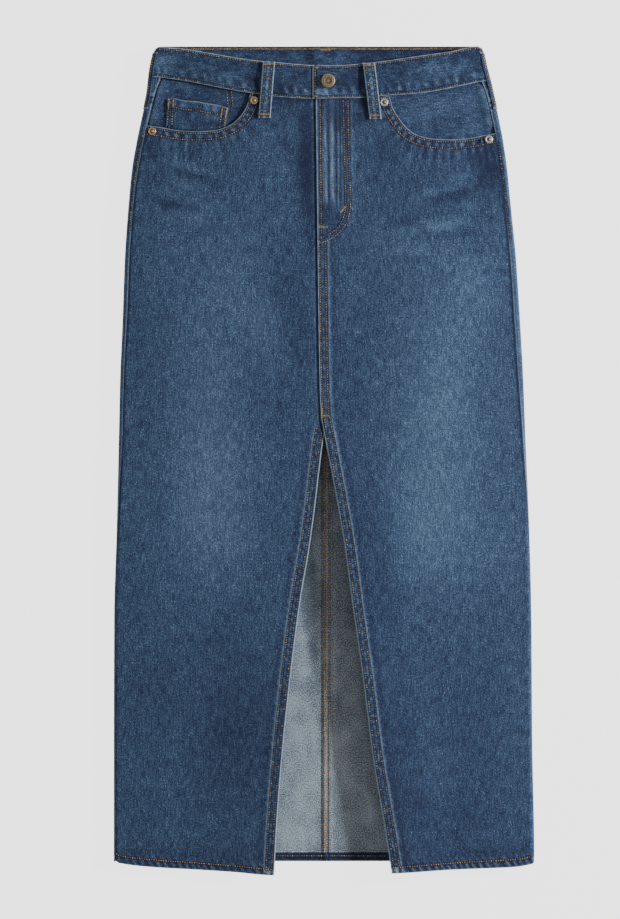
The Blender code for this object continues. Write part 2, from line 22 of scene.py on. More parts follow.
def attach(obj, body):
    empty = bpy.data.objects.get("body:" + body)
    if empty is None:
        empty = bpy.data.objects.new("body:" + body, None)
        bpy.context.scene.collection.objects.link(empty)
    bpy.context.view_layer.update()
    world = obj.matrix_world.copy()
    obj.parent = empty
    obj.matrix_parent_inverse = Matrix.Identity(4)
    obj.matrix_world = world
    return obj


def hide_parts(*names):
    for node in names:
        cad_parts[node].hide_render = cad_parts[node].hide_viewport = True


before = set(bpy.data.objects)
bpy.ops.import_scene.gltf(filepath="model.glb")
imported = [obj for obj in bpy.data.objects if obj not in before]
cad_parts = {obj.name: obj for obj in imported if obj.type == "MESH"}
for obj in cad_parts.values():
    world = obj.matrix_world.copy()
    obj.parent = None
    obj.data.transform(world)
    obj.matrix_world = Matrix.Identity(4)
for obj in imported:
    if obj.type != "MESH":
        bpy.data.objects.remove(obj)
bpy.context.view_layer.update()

LOG = logging.getLogger("denim_skirt")
MM = 0.001
Array = np.ndarray
Point = tuple[float, float]
Colour = tuple[float, float, float]
Kind = TypeVar("Kind")
Piece, Mesh, Material = bpy.types.Object, bpy.types.Mesh, bpy.types.Material
Node, NodeTree, Socket = bpy.types.Node, bpy.types.NodeTree, bpy.types.NodeSocket
Value = Socket | float | tuple


class Side(IntEnum):
    """A side of the skirt, as the sign of its x."""

    LEFT = -1
    RIGHT = 1

    @property
    def word(self) -> str:
        """The side as the pieces' names say it."""
        return self.name.lower()


class Thread(Enum):
    """The threads that the skirt is sewn with, from fresh to worn and the buttonhole's own."""

    ORANGE = "thread_orange"
    CHAIN = "thread_chain"
    TAN = "thread_tan"
    GREY = "thread_grey"
    DARK = "thread_dark"


class Stretch(Enum):
    """How the waistband's columns are placed along a stretch of it."""

    OVER = "by x over the front"
    UNDER = "by x under the back"
    BESIDE = "by distance from the fold, on the front"
    FOLD = "by share of a quarter turn, round the fold"


def by_side(left: Kind, right: Kind) -> dict[Side, Kind]:
    """A dataclass field with a value for each side."""
    return field(default_factory=lambda: {Side.LEFT: left, Side.RIGHT: right})


# ---- Numbers: tables, ramps and noise ----


class Table:
    """A short table of rows, read on a smooth curve that never overshoots them."""

    def __init__(self, *rows: Sequence[float]) -> None:
        """Sorts the rows by their first number and works out the curve's slopes.

        Args:
            rows: The key of each row, then its values.
        """
        data = np.array(sorted(rows), float)
        self.keys, self.values = data[:, 0], data[:, 1:]
        slopes = np.diff(self.values, axis=0) / np.diff(self.keys)[:, None]
        before, after = slopes[:-1], slopes[1:]
        agree = before * after > 0.0
        inner = np.where(agree, 2.0 * before * after / np.where(agree, before + after, 1.0), 0.0)
        self.tangents = np.vstack([slopes[:1], inner, slopes[-1:]])

    def __call__(self, at: Array | float, column: int = 0) -> Array:
        """Reads a column.

        Args:
            at: Where to read it.
            column: Which of the values, from 0.

        Returns:
            The value at each place.
        """
        at = np.clip(np.asarray(at, float), self.keys[0], self.keys[-1])
        i = np.clip(np.searchsorted(self.keys, at, side="right") - 1, 0, len(self.keys) - 2)
        span = self.keys[i + 1] - self.keys[i]
        t = (at - self.keys[i]) / span
        low, high = self.values[i, column], self.values[i + 1, column]
        start = low + span * t * (1.0 - t) ** 2 * self.tangents[i, column]
        end = span * t * t * (1.0 - t) * self.tangents[i + 1, column]
        return start + (high - low) * t * t * (3.0 - 2.0 * t) - end


def ramp(value: Array | float, start: Array | float, end: Array | float) -> Array:
    """A smooth step from 0 at start to 1 at end."""
    t = np.clip((np.asarray(value, float) - start) / (end - start), 0.0, 1.0)
    return t * t * (3.0 - 2.0 * t)


def bump(value: Array, middle: Array | float, half_width: float) -> Array:
    """A soft hump of height 1 round a middle."""
    return np.exp(-(((value - middle) / half_width) ** 2))


def mix(low: Array | float, high: Array | float, t: Array | float) -> Array:
    """The value a share t of the way from low to high."""
    return low + (high - low) * t


def window(value: Array, foot: Point, head: Point) -> Array:
    """Rises from 0 to 1 between the two places at its foot and falls back between the two at its head."""
    return ramp(value, *foot) * (1.0 - ramp(value, *head))


def fade(distance: Array, reach: float) -> Array:
    """1 up to an edge, then softly less with the distance past it."""
    return np.exp(-np.maximum(distance, 0.0) / reach)


class SoftNoise:
    """Smooth noise between -1 and 1, the same each time for a seed."""

    SIZE = 64

    def __init__(self, seed: int) -> None:
        """Draws the lattice for a seed."""
        self.lattice = np.random.default_rng(seed).uniform(-1.0, 1.0, (self.SIZE, self.SIZE))

    def __call__(self, x: Array, y: Array | float = 0.0) -> Array:
        """Reads the noise.

        Args:
            x: Places along the first axis, one lattice step to a unit.
            y: Places along the second axis.

        Returns:
            The noise at each place.
        """
        x, y = np.broadcast_arrays(np.asarray(x, float), np.asarray(y, float))
        i, j = np.floor(x).astype(int), np.floor(y).astype(int)
        u, v = x - i, y - j
        u, v = u * u * (3.0 - 2.0 * u), v * v * (3.0 - 2.0 * v)
        i0, i1 = i % self.SIZE, (i + 1) % self.SIZE
        j0, j1 = j % self.SIZE, (j + 1) % self.SIZE
        low = mix(self.lattice[i0, j0], self.lattice[i1, j0], u)
        high = mix(self.lattice[i0, j1], self.lattice[i1, j1], u)
        return mix(low, high, v)


def rope(along: Array, period: float, seed: int) -> Array:
    """Uneven waves between -1 and 1, as puckers take along a seam.

    Args:
        along: Distance along the seam.
        period: The usual distance from one pucker to the next.
        seed: Which waves.

    Returns:
        The height of the waves at each place.
    """
    noise = SoftNoise(seed)
    phase = along / period + 0.55 * noise(along / (2.6 * period))
    return np.sin(2.0 * math.pi * phase) * (0.68 + 0.32 * noise(along / (1.7 * period), 7.5))


# ---- The skirt's form ----


@dataclass(frozen=True)
class Crease:
    """A soft ridge or trough that fades at both ends.

    Fields: start and end in x and y, half width, height, and how much lighter the wash is on it.
    """

    start: Point
    end: Point
    half_width: float
    height: float
    tone: float = 0.0

    def weight(self, x: Array, y: Array) -> Array:
        """How much of the crease there is at a place, from 0 to 1.

        Args:
            x: Where each place is across the skirt.
            y: Where it is up the skirt.

        Returns:
            The share at each place.
        """
        (x0, y0), (x1, y1) = self.start, self.end
        length = math.hypot(x1 - x0, y1 - y0)
        along = ((x - x0) * (x1 - x0) + (y - y0) * (y1 - y0)) / length
        across = ((x - x0) * (y1 - y0) - (y - y0) * (x1 - x0)) / length
        t = np.clip(along / length, 0.0, 1.0)
        return np.exp(-((across / self.half_width) ** 2)) * np.sin(math.pi * t) ** 2


@dataclass(frozen=True)
class Wash:
    """A soft patch of the wash: its middle, its half sizes, its lean and how much lighter it is."""

    middle: Point
    half: Point
    tone: float
    lean: float = 0.0

    def weight(self, x: Array, y: Array) -> Array:
        """How much of the patch there is at a place, from 0 to 1.

        Args:
            x: Where each place is across the skirt.
            y: Where it is up the skirt.

        Returns:
            The share at each place.
        """
        turn = math.radians(self.lean)
        dx, dy = x - self.middle[0], y - self.middle[1]
        u = (dx * math.cos(turn) + dy * math.sin(turn)) / self.half[0]
        v = (dy * math.cos(turn) - dx * math.sin(turn)) / self.half[1]
        return np.exp(-(u * u + v * v))


@dataclass
class SkirtForm:
    """The flattened tube that every piece of cloth lies on, and the lines that its pieces end at."""

    # The side folds: y, left edge, right edge, radius of the fold
    outline: Table = Table(
        (486, -193, 179.5, 5.8), (482, -197.5, 185.5, 5.8), (477, -200, 187, 5.8),
        (461, -203.5, 190.5, 5.8), (433, -207.5, 198, 5.7), (404, -213.5, 204.5, 5.6),
        (376, -219.5, 210, 5.5), (341, -225.5, 215, 5.4), (306, -229, 218.5, 5.3),
        (235, -234, 225.5, 5.2), (165, -236.5, 230, 5.2), (94, -239.5, 234, 5.1), (24, -241, 236.5, 5.1),
        (-82, -243.5, 241, 5), (-188, -246.5, 243.5, 5), (-329, -246.8, 244.5, 5),
        (-460, -246.8, 246.8, 5), (-486, -246.8, 246.8, 5),
    )
    # How far the front stands over its folds: y, middle, left slit edge, right slit edge
    rise: Table = Table(
        (486, 5, 0, 0), (300, 5.5, 0, 0), (120, 4.5, 0, 0), (41, 4, 0.3, 0.3), (-60, 3.5, 2.5, 4),
        (-250, 3, 4, 7), (-486, 2.5, 4.5, 8),
    )
    # Side seams, measured in from the fold: y, left, right
    side_seam: Table = Table(
        (447, 14, 11.5), (428, 10, 9), (400, 9, 8.5), (350, 8, 9), (290, 6, 7.5), (200, 6, 7.5),
        (110, 5, 7), (30, 4.8, 4), (-30, 3, 2.2), (-60, 2, 1.2), (-110, 0.6, 0.6), (-486, 0.4, 0.4),
    )
    # Waistband on the front: x, top edge, bottom seam
    front_waist: Table = Table(
        (-195, 484.3, 448.6), (-169, 482.4, 445), (-133, 476.6, 438), (-101, 470.9, 431.8),
        (-72, 467.2, 427.5), (-53, 465.6, 425), (-12, 462.4, 422.8), (14, 462, 423.4), (46, 464.5, 424),
        (66, 466.7, 426), (113, 473.7, 429.6), (150, 479.2, 436.1), (179, 485.2, 442.5),
        (192, 485.8, 444.5),
    )
    # Centre front and slit: y, left panel's edge, right panel's edge
    centre_front: Table = Table(
        (424, 0, -10), (272, 1.8, -8.2), (82, 4.7, -5.3), (60, 4.6, -4.3), (50, 3.6, -3.7),
        (41, 2.2, -2.2), (28, -0.2, 0.4), (13.5, -2.4, 3), (-12, -5.6, 8), (-55, -10.6, 16),
        (-103, -17.3, 24), (-164, -27.6, 32.2), (-252, -39.1, 44.6), (-353, -49.6, 57.5),
        (-431, -55.5, 70.8), (-486, -58.4, 79.5),
    )
    # Front hem: x, y
    front_hem: Table = Table(
        (-246.8, -468), (-240, -472.5), (-202, -477), (-147, -480), (-105, -482.5), (-58, -486),
        (79, -483.5), (146, -480), (224, -477), (246.8, -473),
    )
    # Pocket scoops: x, y of the panel's edge
    scoops: dict[Side, Table] = by_side(
        Table(
            (-86.5, 429.3), (-90.5, 415.2), (-97.5, 403.7), (-106, 395.3), (-115.5, 390), (-129, 386.4),
            (-149, 385.3), (-169, 386.4), (-190, 390), (-212, 393),
        ),
        Table(
            (76.5, 426.6), (80.8, 411.8), (86.4, 402.4), (95.8, 390.3), (106, 382.2), (118, 378.1),
            (131.5, 376.2), (150, 375.7), (169, 377.1), (187.5, 380.9), (205, 384),
        ),
    )
    scoop_corner: dict[Side, float] = by_side(-86.5, 76.5)
    creases: tuple[Crease, ...] = (
        Crease((-205, 352), (-120, 318), 12, 0.9, 0.10), Crease((-210, 322), (-110, 282), 14, 0.8, 0.12),
        Crease((-60, 392), (-25, 330), 10, -0.8, -0.10), Crease((95, 250), (200, 312), 14, 0.9, 0.12),
        Crease((80, 286), (195, 350), 12, 0.8, 0.10), Crease((55, 330), (75, 392), 10, -0.7, -0.06),
        Crease((-170, -250), (-190, -500), 26, 1.1, 0.04),
        Crease((-110, -120), (-120, -500), 30, -0.9, -0.03),
        Crease((120, -200), (140, -500), 28, 1.1, 0.04),
        Crease((185, -60), (200, -500), 26, -0.9, -0.03),
        Crease((-192, 341), (-110, 322), 5.5, -0.5, -0.14),
        Crease((-208, 306), (-150, 291), 5, -0.4, -0.12),
        Crease((100, 300), (190, 318), 5.5, -0.55, -0.17), Crease((84, 256), (190, 270), 6, -0.5, -0.13),
        Crease((60, 268), (130, 292), 5, -0.35, -0.08), Crease((-150, 378), (-128, 340), 4, 0.25, 0.05),
        Crease((104, 372), (92, 338), 4.5, 0.25, 0.06),
        # Whiskers
        Crease((-208, 358), (-92, 328), 3.2, 0.15, 0.060),
        Crease((-206, 349), (-104, 320), 3, -0.12, -0.065),
        Crease((-202, 333), (-136, 312), 2.8, 0.12, 0.050),
        Crease((-212, 319), (-124, 298), 3, 0.12, 0.055),
        Crease((-212, 310), (-106, 284), 3.2, -0.12, -0.065),
        Crease((84, 306), (192, 326), 3, 0.12, 0.055), Crease((92, 294), (198, 310), 3, -0.12, -0.055),
        Crease((80, 264), (184, 284), 3.2, 0.12, 0.055),
        Crease((112, 322), (202, 344), 2.8, 0.12, 0.050),
    )
    back_waist: Point = (486.0, 446.0)
    back_hem: float = -471.0
    centre_back: float = -2.5
    yoke_centre: float = 381.0
    yoke_side: dict[Side, float] = by_side(428.0, 421.5)
    slit_lift_reach: float = 60.0
    back_loop_x: float = 2.0
    back_loop_room: float = 2.2
    back_loop_fade: Point = (12.0, 26.0)
    back_loop_foot: Point = (398.0, 412.0)
    drape_seed: int = 5
    drape_size: float = 74.0
    drape_height: float = 0.35

    def fold_edge(self, side: Array | int, y: Array) -> tuple[Array, Array]:
        """Distance of a side's fold from the middle line, and the fold's radius."""
        return np.where(np.asarray(side) < 0, -self.outline(y, 0), self.outline(y, 1)), self.outline(y, 2)

    def quarter_turn(self, side: Array | int, y: Array) -> Array:
        """The girth at which the fold ends and the front begins."""
        return self.fold_edge(side, y)[1] * math.pi / 2.0

    def centre_edge(self, side: Array | int, y: Array) -> Array:
        """The x at which a front panel ends, at the fly, the centre seam or the slit."""
        return np.where(np.asarray(side) < 0, self.centre_front(y, 0), self.centre_front(y, 1))

    def slit_lift(self, x: Array, y: Array) -> Array:
        """How far the front's slit edges stand over the rest of the front.

        Args:
            x: Where each place is across the skirt.
            y: Where it is up the skirt.

        Returns:
            The extra height at each place.
        """
        left_edge, right_edge = self.centre_front(y, 0), self.centre_front(y, 1)
        is_left = x < mix(left_edge, right_edge, 0.5)
        edge = np.where(is_left, left_edge, right_edge)
        lift = np.where(is_left, self.rise(y, 1), self.rise(y, 2))
        return lift * bump(x, edge, self.slit_lift_reach)

    def front_height(self, x: Array, y: Array) -> Array:
        """The height of the front over the ground, creases and all.

        Args:
            x: Where each place is across the skirt.
            y: Where it is up the skirt.

        Returns:
            The height at each place.
        """
        left, left_radius = self.fold_edge(Side.LEFT, y)
        right, right_radius = self.fold_edge(Side.RIGHT, y)
        low, high = left_radius - left, right - right_radius
        across = np.clip((2.0 * x - low - high) / (high - low), -1.0, 1.0)
        dome = (1.0 - across**4) ** 2
        folds = sum(crease.height * crease.weight(x, y) for crease in self.creases)
        drape = self.drape_height * SoftNoise(self.drape_seed)(x / self.drape_size, y / self.drape_size)
        base = mix(2.0 * left_radius, 2.0 * right_radius, (across + 1.0) / 2.0)
        return base + dome * (self.rise(y, 0) + folds + drape) + self.slit_lift(x, y)

    def back_height(self, x: Array, y: Array) -> Array:
        """The back lies on the ground, but for the room that the centre-back belt loop takes up."""
        beside = 1.0 - ramp(np.abs(x - self.back_loop_x), *self.back_loop_fade)
        return self.back_loop_room * beside * ramp(y, *self.back_loop_foot)

    def place(self, side: Array | int, girth: Array, y: Array, lift: Array | float = 0.0) -> Array:
        """Turns places on the cloth into points.

        Args:
            side: The side that each place is measured from.
            girth: Distance round from that side's fold.
            y: Distance up the skirt.
            lift: How far out from the tube.

        Returns:
            The points in millimetres, with a last axis of x, y and z.
        """
        side, girth, y, lift = np.broadcast_arrays(side, girth, y, lift)
        edge, radius = self.fold_edge(side, y)
        quarter = radius * math.pi / 2.0
        angle = np.clip(girth, -quarter, quarter) / radius
        x = side * (edge - radius + (radius + lift) * np.cos(angle))
        z = radius + (radius + lift) * np.sin(angle)
        over, under = girth > quarter, girth < -quarter
        x = np.where(over, side * (edge - radius - (girth - quarter)), x)
        x = np.where(under, side * (edge - radius + (girth + quarter)), x)
        z = np.where(over, self.front_height(x, y) + lift, z)
        z = np.where(under, self.back_height(x, y) - lift, z)
        return np.stack([x, y, z], axis=-1)

    def x_at(self, side: Array | int, girth: Array, y: Array) -> Array:
        """The x of places on the cloth."""
        return self.place(side, girth, y)[..., 0]

    def front_girth(self, side: Array | int, x: Array, y: Array) -> Array:
        """The girth at which the front passes over x.

        Args:
            side: The side to measure from.
            x: Where each place is across the skirt.
            y: Where it is up the skirt.

        Returns:
            The girth at each place.
        """
        edge, radius = self.fold_edge(side, y)
        past = side * np.asarray(x, float) - (edge - radius)
        bent = radius * np.arccos(np.clip(past / radius, -1.0, 1.0))
        return np.where(past > 0.0, bent, radius * math.pi / 2.0 - past)

    def back_girth(self, side: Array | int, x: Array, y: Array) -> Array:
        """The girth at which the back passes under x."""
        edge, radius = self.fold_edge(side, y)
        return -radius * math.pi / 2.0 - (edge - radius - side * np.asarray(x, float))

    def seam_girth(self, side: int, y: Array) -> Array:
        """The girth of the side seam, which lies a little way onto the front.

        Args:
            side: The side.
            y: The y of the places.

        Returns:
            The girth at each y.
        """
        edge, _ = self.fold_edge(side, y)
        inset = self.side_seam(y, 0 if side < 0 else 1)
        return self.front_girth(side, side * (edge - inset), y)

    def band_edge(self, side: Array | int, girth: Array, y: Array, column: int) -> Array:
        """The y of the waistband's top (column 0) or bottom seam (column 1) at a girth.

        Args:
            side: The side that they are measured from.
            girth: Their distance round from its fold.
            y: A first guess of the edge.
            column: Which edge.

        Returns:
            The edge, nearer than the guess.
        """
        x = self.x_at(side, girth, y)
        quarter = self.quarter_turn(side, y)
        front = self.front_waist(x, column)
        return mix(self.back_waist[column], front, ramp(girth, -quarter, quarter))

    def yoke_edge(self, side: int, girth: Array, y: Array) -> Array:
        """The y of the yoke seam: level round the fold, then sloping down to the centre back.

        Args:
            side: The side.
            girth: Their distance round from its fold.
            y: A first guess of the seam.

        Returns:
            The seam, nearer than the guess.
        """
        under = -self.quarter_turn(side, y)
        centre = self.back_girth(side, self.centre_back, y)
        t = np.clip((girth - under) / (centre - under), 0.0, 1.0)
        return mix(self.yoke_side[Side(side)], self.yoke_centre, t)

    def panel_top(self, side: int, x: Array) -> Array:
        """A front panel's upper edge: the pocket scoop, then the waistband seam."""
        corner = self.scoop_corner[Side(side)]
        return np.where(side * x >= side * corner, self.scoops[Side(side)](x), self.front_waist(x, 1))


FORM = SkirtForm()


def settle(rule: Callable[[Array], Array], y: Array, rounds: int = 9) -> Array:
    """Solves y = rule(y) for an edge whose y depends on where it lies.

    Args:
        rule: The edge's y for a first guess of it.
        y: The first guess.
        rounds: How often the guess is bettered.

    Returns:
        The edge's y.
    """
    for _ in range(rounds):
        y = rule(y)
    return y


def nearest(x: Array, y: Array, line: Array) -> tuple[Array, Array]:
    """Distance of each place from a line of points, and how far along the line it is.

    Args:
        x: The places' x.
        y: The places' y.
        line: The line's points, one row of x and y each.

    Returns:
        The distance, positive to the left of the line's direction, and the distance along.
    """
    shape, places = x.shape, np.stack([x.ravel(), y.ravel()], axis=1)
    best = np.full(len(places), np.inf)
    signed, along = np.zeros(len(places)), np.zeros(len(places))
    passed = 0.0
    for start, end in zip(line[:-1], line[1:]):
        step = end - start
        length = float(np.hypot(*step))
        offset = places - start
        t = np.clip(offset @ step / length**2, 0.0, 1.0)
        gap = offset - t[:, None] * step
        far = np.hypot(gap[:, 0], gap[:, 1])
        closer = far < best
        turn = np.sign(step[0] * offset[:, 1] - step[1] * offset[:, 0])
        best = np.where(closer, far, best)
        signed = np.where(closer, far * turn, signed)
        along = np.where(closer, passed + t * length, along)
        passed += length
    return signed.reshape(shape), along.reshape(shape)


def smooth_line(points: Sequence[Point], step: float = 2.0) -> Array:
    """A smooth line through a few points, by Catmull-Rom, with points about a step apart.

    Args:
        points: The points.
        step: About how far apart the points of the line are.

    Returns:
        The points of the line.
    """
    knots = np.array(points, float)
    knots = np.vstack([2.0 * knots[0] - knots[1], knots, 2.0 * knots[-1] - knots[-2]])
    pieces = []
    for a, b, c, d in zip(knots, knots[1:], knots[2:], knots[3:]):
        count = max(2, math.ceil(float(np.hypot(*(c - b))) / step))
        t = np.linspace(0.0, 1.0, count, endpoint=False)[:, None]
        pieces.append(
            0.5 * (2.0 * b + (c - a) * t + (2.0 * a - 5.0 * b + 4.0 * c - d) * t**2
                   + (3.0 * b - a - 3.0 * c + d) * t**3)
        )
    return np.vstack([*pieces, knots[-2:-1]])


# ---- Cloth: closed shells with rounded edges ----


@dataclass
class Relief:
    """What a seam, hem or wash adds to the cloth: height, a lighter tone, and bare scuffed thread."""

    lift: Array
    tone: Array
    scuff: Array

    @classmethod
    def flat(cls, like: Array, tone: float) -> "Relief":
        """Plain cloth of one tone."""
        return cls(np.zeros(like.shape), np.full(like.shape, tone), np.zeros(like.shape))

    def add(
        self, weight: Array, lift: float = 0.0, tone: float = 0.0, scuff: Array | float = 0.0
    ) -> None:
        """Adds a weighted amount of each.

        Args:
            weight: How much of them there is at each place.
            lift: Height.
            tone: Lightness.
            scuff: Bare thread.
        """
        self.lift = self.lift + lift * weight
        self.tone = self.tone + tone * weight
        self.scuff = self.scuff + scuff * weight

    def roped(
        self, weight: Array, waves: Array, lift: float, tone: float, scuff: Array | float
    ) -> None:
        """Adds puckers, with bare thread along their crests.

        Args:
            weight: How much of them there is.
            waves: Their height, from -1 to 1.
            lift: How high a crest stands.
            tone: How much lighter it is.
            scuff: How bare it is rubbed.
        """
        self.add(weight * waves, lift, tone)
        self.add(weight * np.maximum(waves, 0.0) ** 2, scuff=scuff)

    def stitched(self, distance: Array, where: Array | float = 1.0) -> None:
        """Sinks a stitch row into the cloth, a little darker: unwashed dye along the row, and painted shade
        in its groove.

        Args:
            distance: Distance from the row.
            where: How much of the row there is.
        """
        # The darker tone is partly unwashed dye and partly painted shade in the sunk groove
        self.add(bump(distance, 0.0, 1.15) * where, lift=-0.28, tone=-0.95, scuff=-0.5)


@dataclass
class ClothGrid:
    """A piece of cloth as rows and columns of places, with its two faces."""

    side: Array | int
    girth: Array
    y: Array
    lift: Array
    wall: Array | float
    relief: Relief
    turned_in: Array | bool = False
    edges: Sequence[Array] = ()
    inner_tone: Array | float = 0.0
    cut_across: bool = False

    def __post_init__(self) -> None:
        """Gives every place its wall, and says whether the cloth is turned in there."""
        self.wall = self.wall + np.zeros(self.y.shape)
        self.turned_in = self.turned_in | np.zeros(self.y.shape, bool)

    def rounding(self) -> Array:
        """How far each face falls back to the middle of the wall near the piece's cut or folded edges.

        Returns:
            The drop at each place.
        """
        radius = self.wall / 2.0
        drop = np.zeros(self.y.shape)
        for distance in self.edges:
            near = np.clip(radius - distance, 0.0, radius)
            drop = np.maximum(drop, radius - np.sqrt(np.maximum(radius**2 - near**2, 0.0)))
        return np.minimum(drop, 0.94 * radius)

    def faces(self) -> tuple[Array, Array]:
        """The points of the outer and of the inner face, in millimetres."""
        drop = self.rounding()
        outer = FORM.place(self.side, self.girth, self.y, self.lift - drop)
        inner = FORM.place(self.side, self.girth, self.y, self.lift - self.wall + drop)
        return outer, inner


UV_NAME = "cloth"
UV_HALF_WIDTH = 250.0


def grid_quads(rows: int, columns: int, first: int) -> Array:
    """The corners of the quads between a grid's points, which start at index first."""
    index = first + np.arange(rows * columns).reshape(rows, columns)
    return np.stack([index[:-1, :-1], index[1:, :-1], index[1:, 1:], index[:-1, 1:]], axis=-1).reshape(-1, 4)


def make_mesh(name: str, points: Array, quads: Array, uv: Array, attributes: dict[str, Array]) -> Mesh:
    """A mesh of quads with a UV map and point attributes.

    Args:
        name: The mesh's name.
        points: Its points in millimetres.
        quads: The corners of each quad.
        uv: The cloth's own coordinates of each point, in metres.
        attributes: Values for each point, by name.

    Returns:
        The mesh, with its faces pointing out.
    """
    a, b, c, d = (points[quads[:, i]] for i in range(4))
    volume = (a * np.cross(b, c)).sum() + (a * np.cross(c, d)).sum()
    if volume < 0.0:
        quads = quads[:, ::-1]
    mesh = bpy.data.meshes.new(name)
    mesh.from_pydata((points * MM).tolist(), [], quads.tolist())
    layer = mesh.uv_layers.new(name=UV_NAME)
    layer.data.foreach_set("uv", uv[quads.ravel()].astype(np.float32).ravel())
    for key, values in attributes.items():
        attribute = mesh.attributes.new(key, "FLOAT", "POINT")
        attribute.data.foreach_set("value", values.astype(np.float32).ravel())
    mesh.shade_smooth()
    return mesh


def add_piece(name: str, mesh: Mesh, materials: Iterable[Material]) -> Piece:
    """Links a mesh to the scene as a piece with its materials.

    Args:
        name: Its name.
        mesh: Its mesh.
        materials: Its materials, in the order of their slots.

    Returns:
        The piece, at the origin.
    """
    for material in materials:
        mesh.materials.append(material)
    piece = bpy.data.objects.new(name, mesh)
    bpy.context.scene.collection.objects.link(piece)
    return piece


def measure_cut(points: Array) -> tuple[Point, float]:
    """Measures the flat cut of a piece of cloth.

    Args:
        points: The rows and columns of its middle layer, in millimetres.

    Returns:
        Its widest row and its longest column in metres, and its area in square metres.
    """
    width = np.linalg.norm(np.diff(points, axis=1), axis=2).sum(axis=1).max() * MM
    length = np.linalg.norm(points[-1] - points[0], axis=1).max() * MM
    diagonals = points[1:, 1:] - points[:-1, :-1], points[1:, :-1] - points[:-1, 1:]
    area = 0.5 * np.linalg.norm(np.cross(*diagonals), axis=2).sum() * MM**2
    return (float(width), float(length)), float(area)


def sew_in(node: str, grid: ClothGrid, fabric: "FabricLook") -> Piece:
    """Args:
        node: The solid that it stands for.
        grid: Its rows and columns.
        fabric: The materials of its two faces.

    Returns:
        The piece, at the origin.
    """
    piece = cloth_piece(f"{node}_cloth", grid, fabric)
    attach(piece, "root")
    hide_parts(node)
    outer, inner = grid.faces()
    flat, area = measure_cut((outer + inner) / 2.0)
    min(area, flat[0] * flat[1])
    LOG.info("%s: %d faces, cut %.3f x %.3f m, %.4f m2", piece.name, len(piece.data.polygons), *flat, area)
    return piece


def cloth_piece(name: str, grid: ClothGrid, fabric: "FabricLook") -> Piece:
    """Makes a closed shell of cloth from a grid.

    Args:
        name: The piece's name.
        grid: Its rows and columns.
        fabric: The materials of its two faces.

    Returns:
        The piece, at the origin.
    """
    outer, inner = grid.faces()
    rows, columns = grid.y.shape
    count = rows * columns
    quads = grid_quads(rows, columns, 0)
    inner_quads = grid_quads(rows, columns, count)[:, ::-1]
    index = np.arange(count).reshape(rows, columns)
    border = np.concatenate([index[0, :-1], index[:-1, -1], index[-1, :0:-1], index[:0:-1, 0]])
    after = np.roll(border, -1)
    rim = np.stack([border, after, after + count, border + count], axis=1)
    across = np.asarray(grid.side) * (UV_HALF_WIDTH - grid.girth)
    uv = np.stack([across.ravel(), grid.y.ravel()], axis=1) * MM
    uv = uv[:, ::-1] if grid.cut_across else uv
    shows_face = (grid.turned_in[:-1, :-1] & grid.turned_in[1:, 1:]).ravel()
    tone = grid.relief.tone
    mesh = make_mesh(
        name,
        np.concatenate([outer.reshape(-1, 3), inner.reshape(-1, 3)]),
        np.concatenate([quads, inner_quads, rim]),
        np.concatenate([uv, uv]),
        {
            "tone": np.concatenate([tone.ravel(), (tone + grid.inner_tone).ravel()]),
            "scuff": np.tile(grid.relief.scuff.ravel(), 2),
        },
    )
    slots = np.concatenate([np.zeros(len(quads)), np.where(shows_face, 0, 1), np.zeros(len(rim))])
    mesh.polygons.foreach_set("material_index", slots.astype(np.int32))
    return add_piece(name, mesh, (fabric.face, fabric.inside))


def spread(*stops: tuple[float, float]) -> Array:
    """Positions that run from stop to stop at each stop's own spacing.

    Args:
        stops: Each place, and the spacing from it to the next place.

    Returns:
        The positions, with every stop among them.
    """
    pieces = []
    for (start, step), (end, _) in zip(stops, stops[1:]):
        count = max(1, round(abs(end - start) / step))
        pieces.append(np.linspace(start, end, count, endpoint=False))
    return np.concatenate([*pieces, [stops[-1][0]]])


# Distances in from an edge at which its rounding needs rows: 0, then wider and wider
EDGE_STEPS = (0.0, 0.12, 0.35, 0.7, 1.1, 1.6)


# The distance from an edge that a place elsewhere on the piece is given
FAR_OFF = 200.0
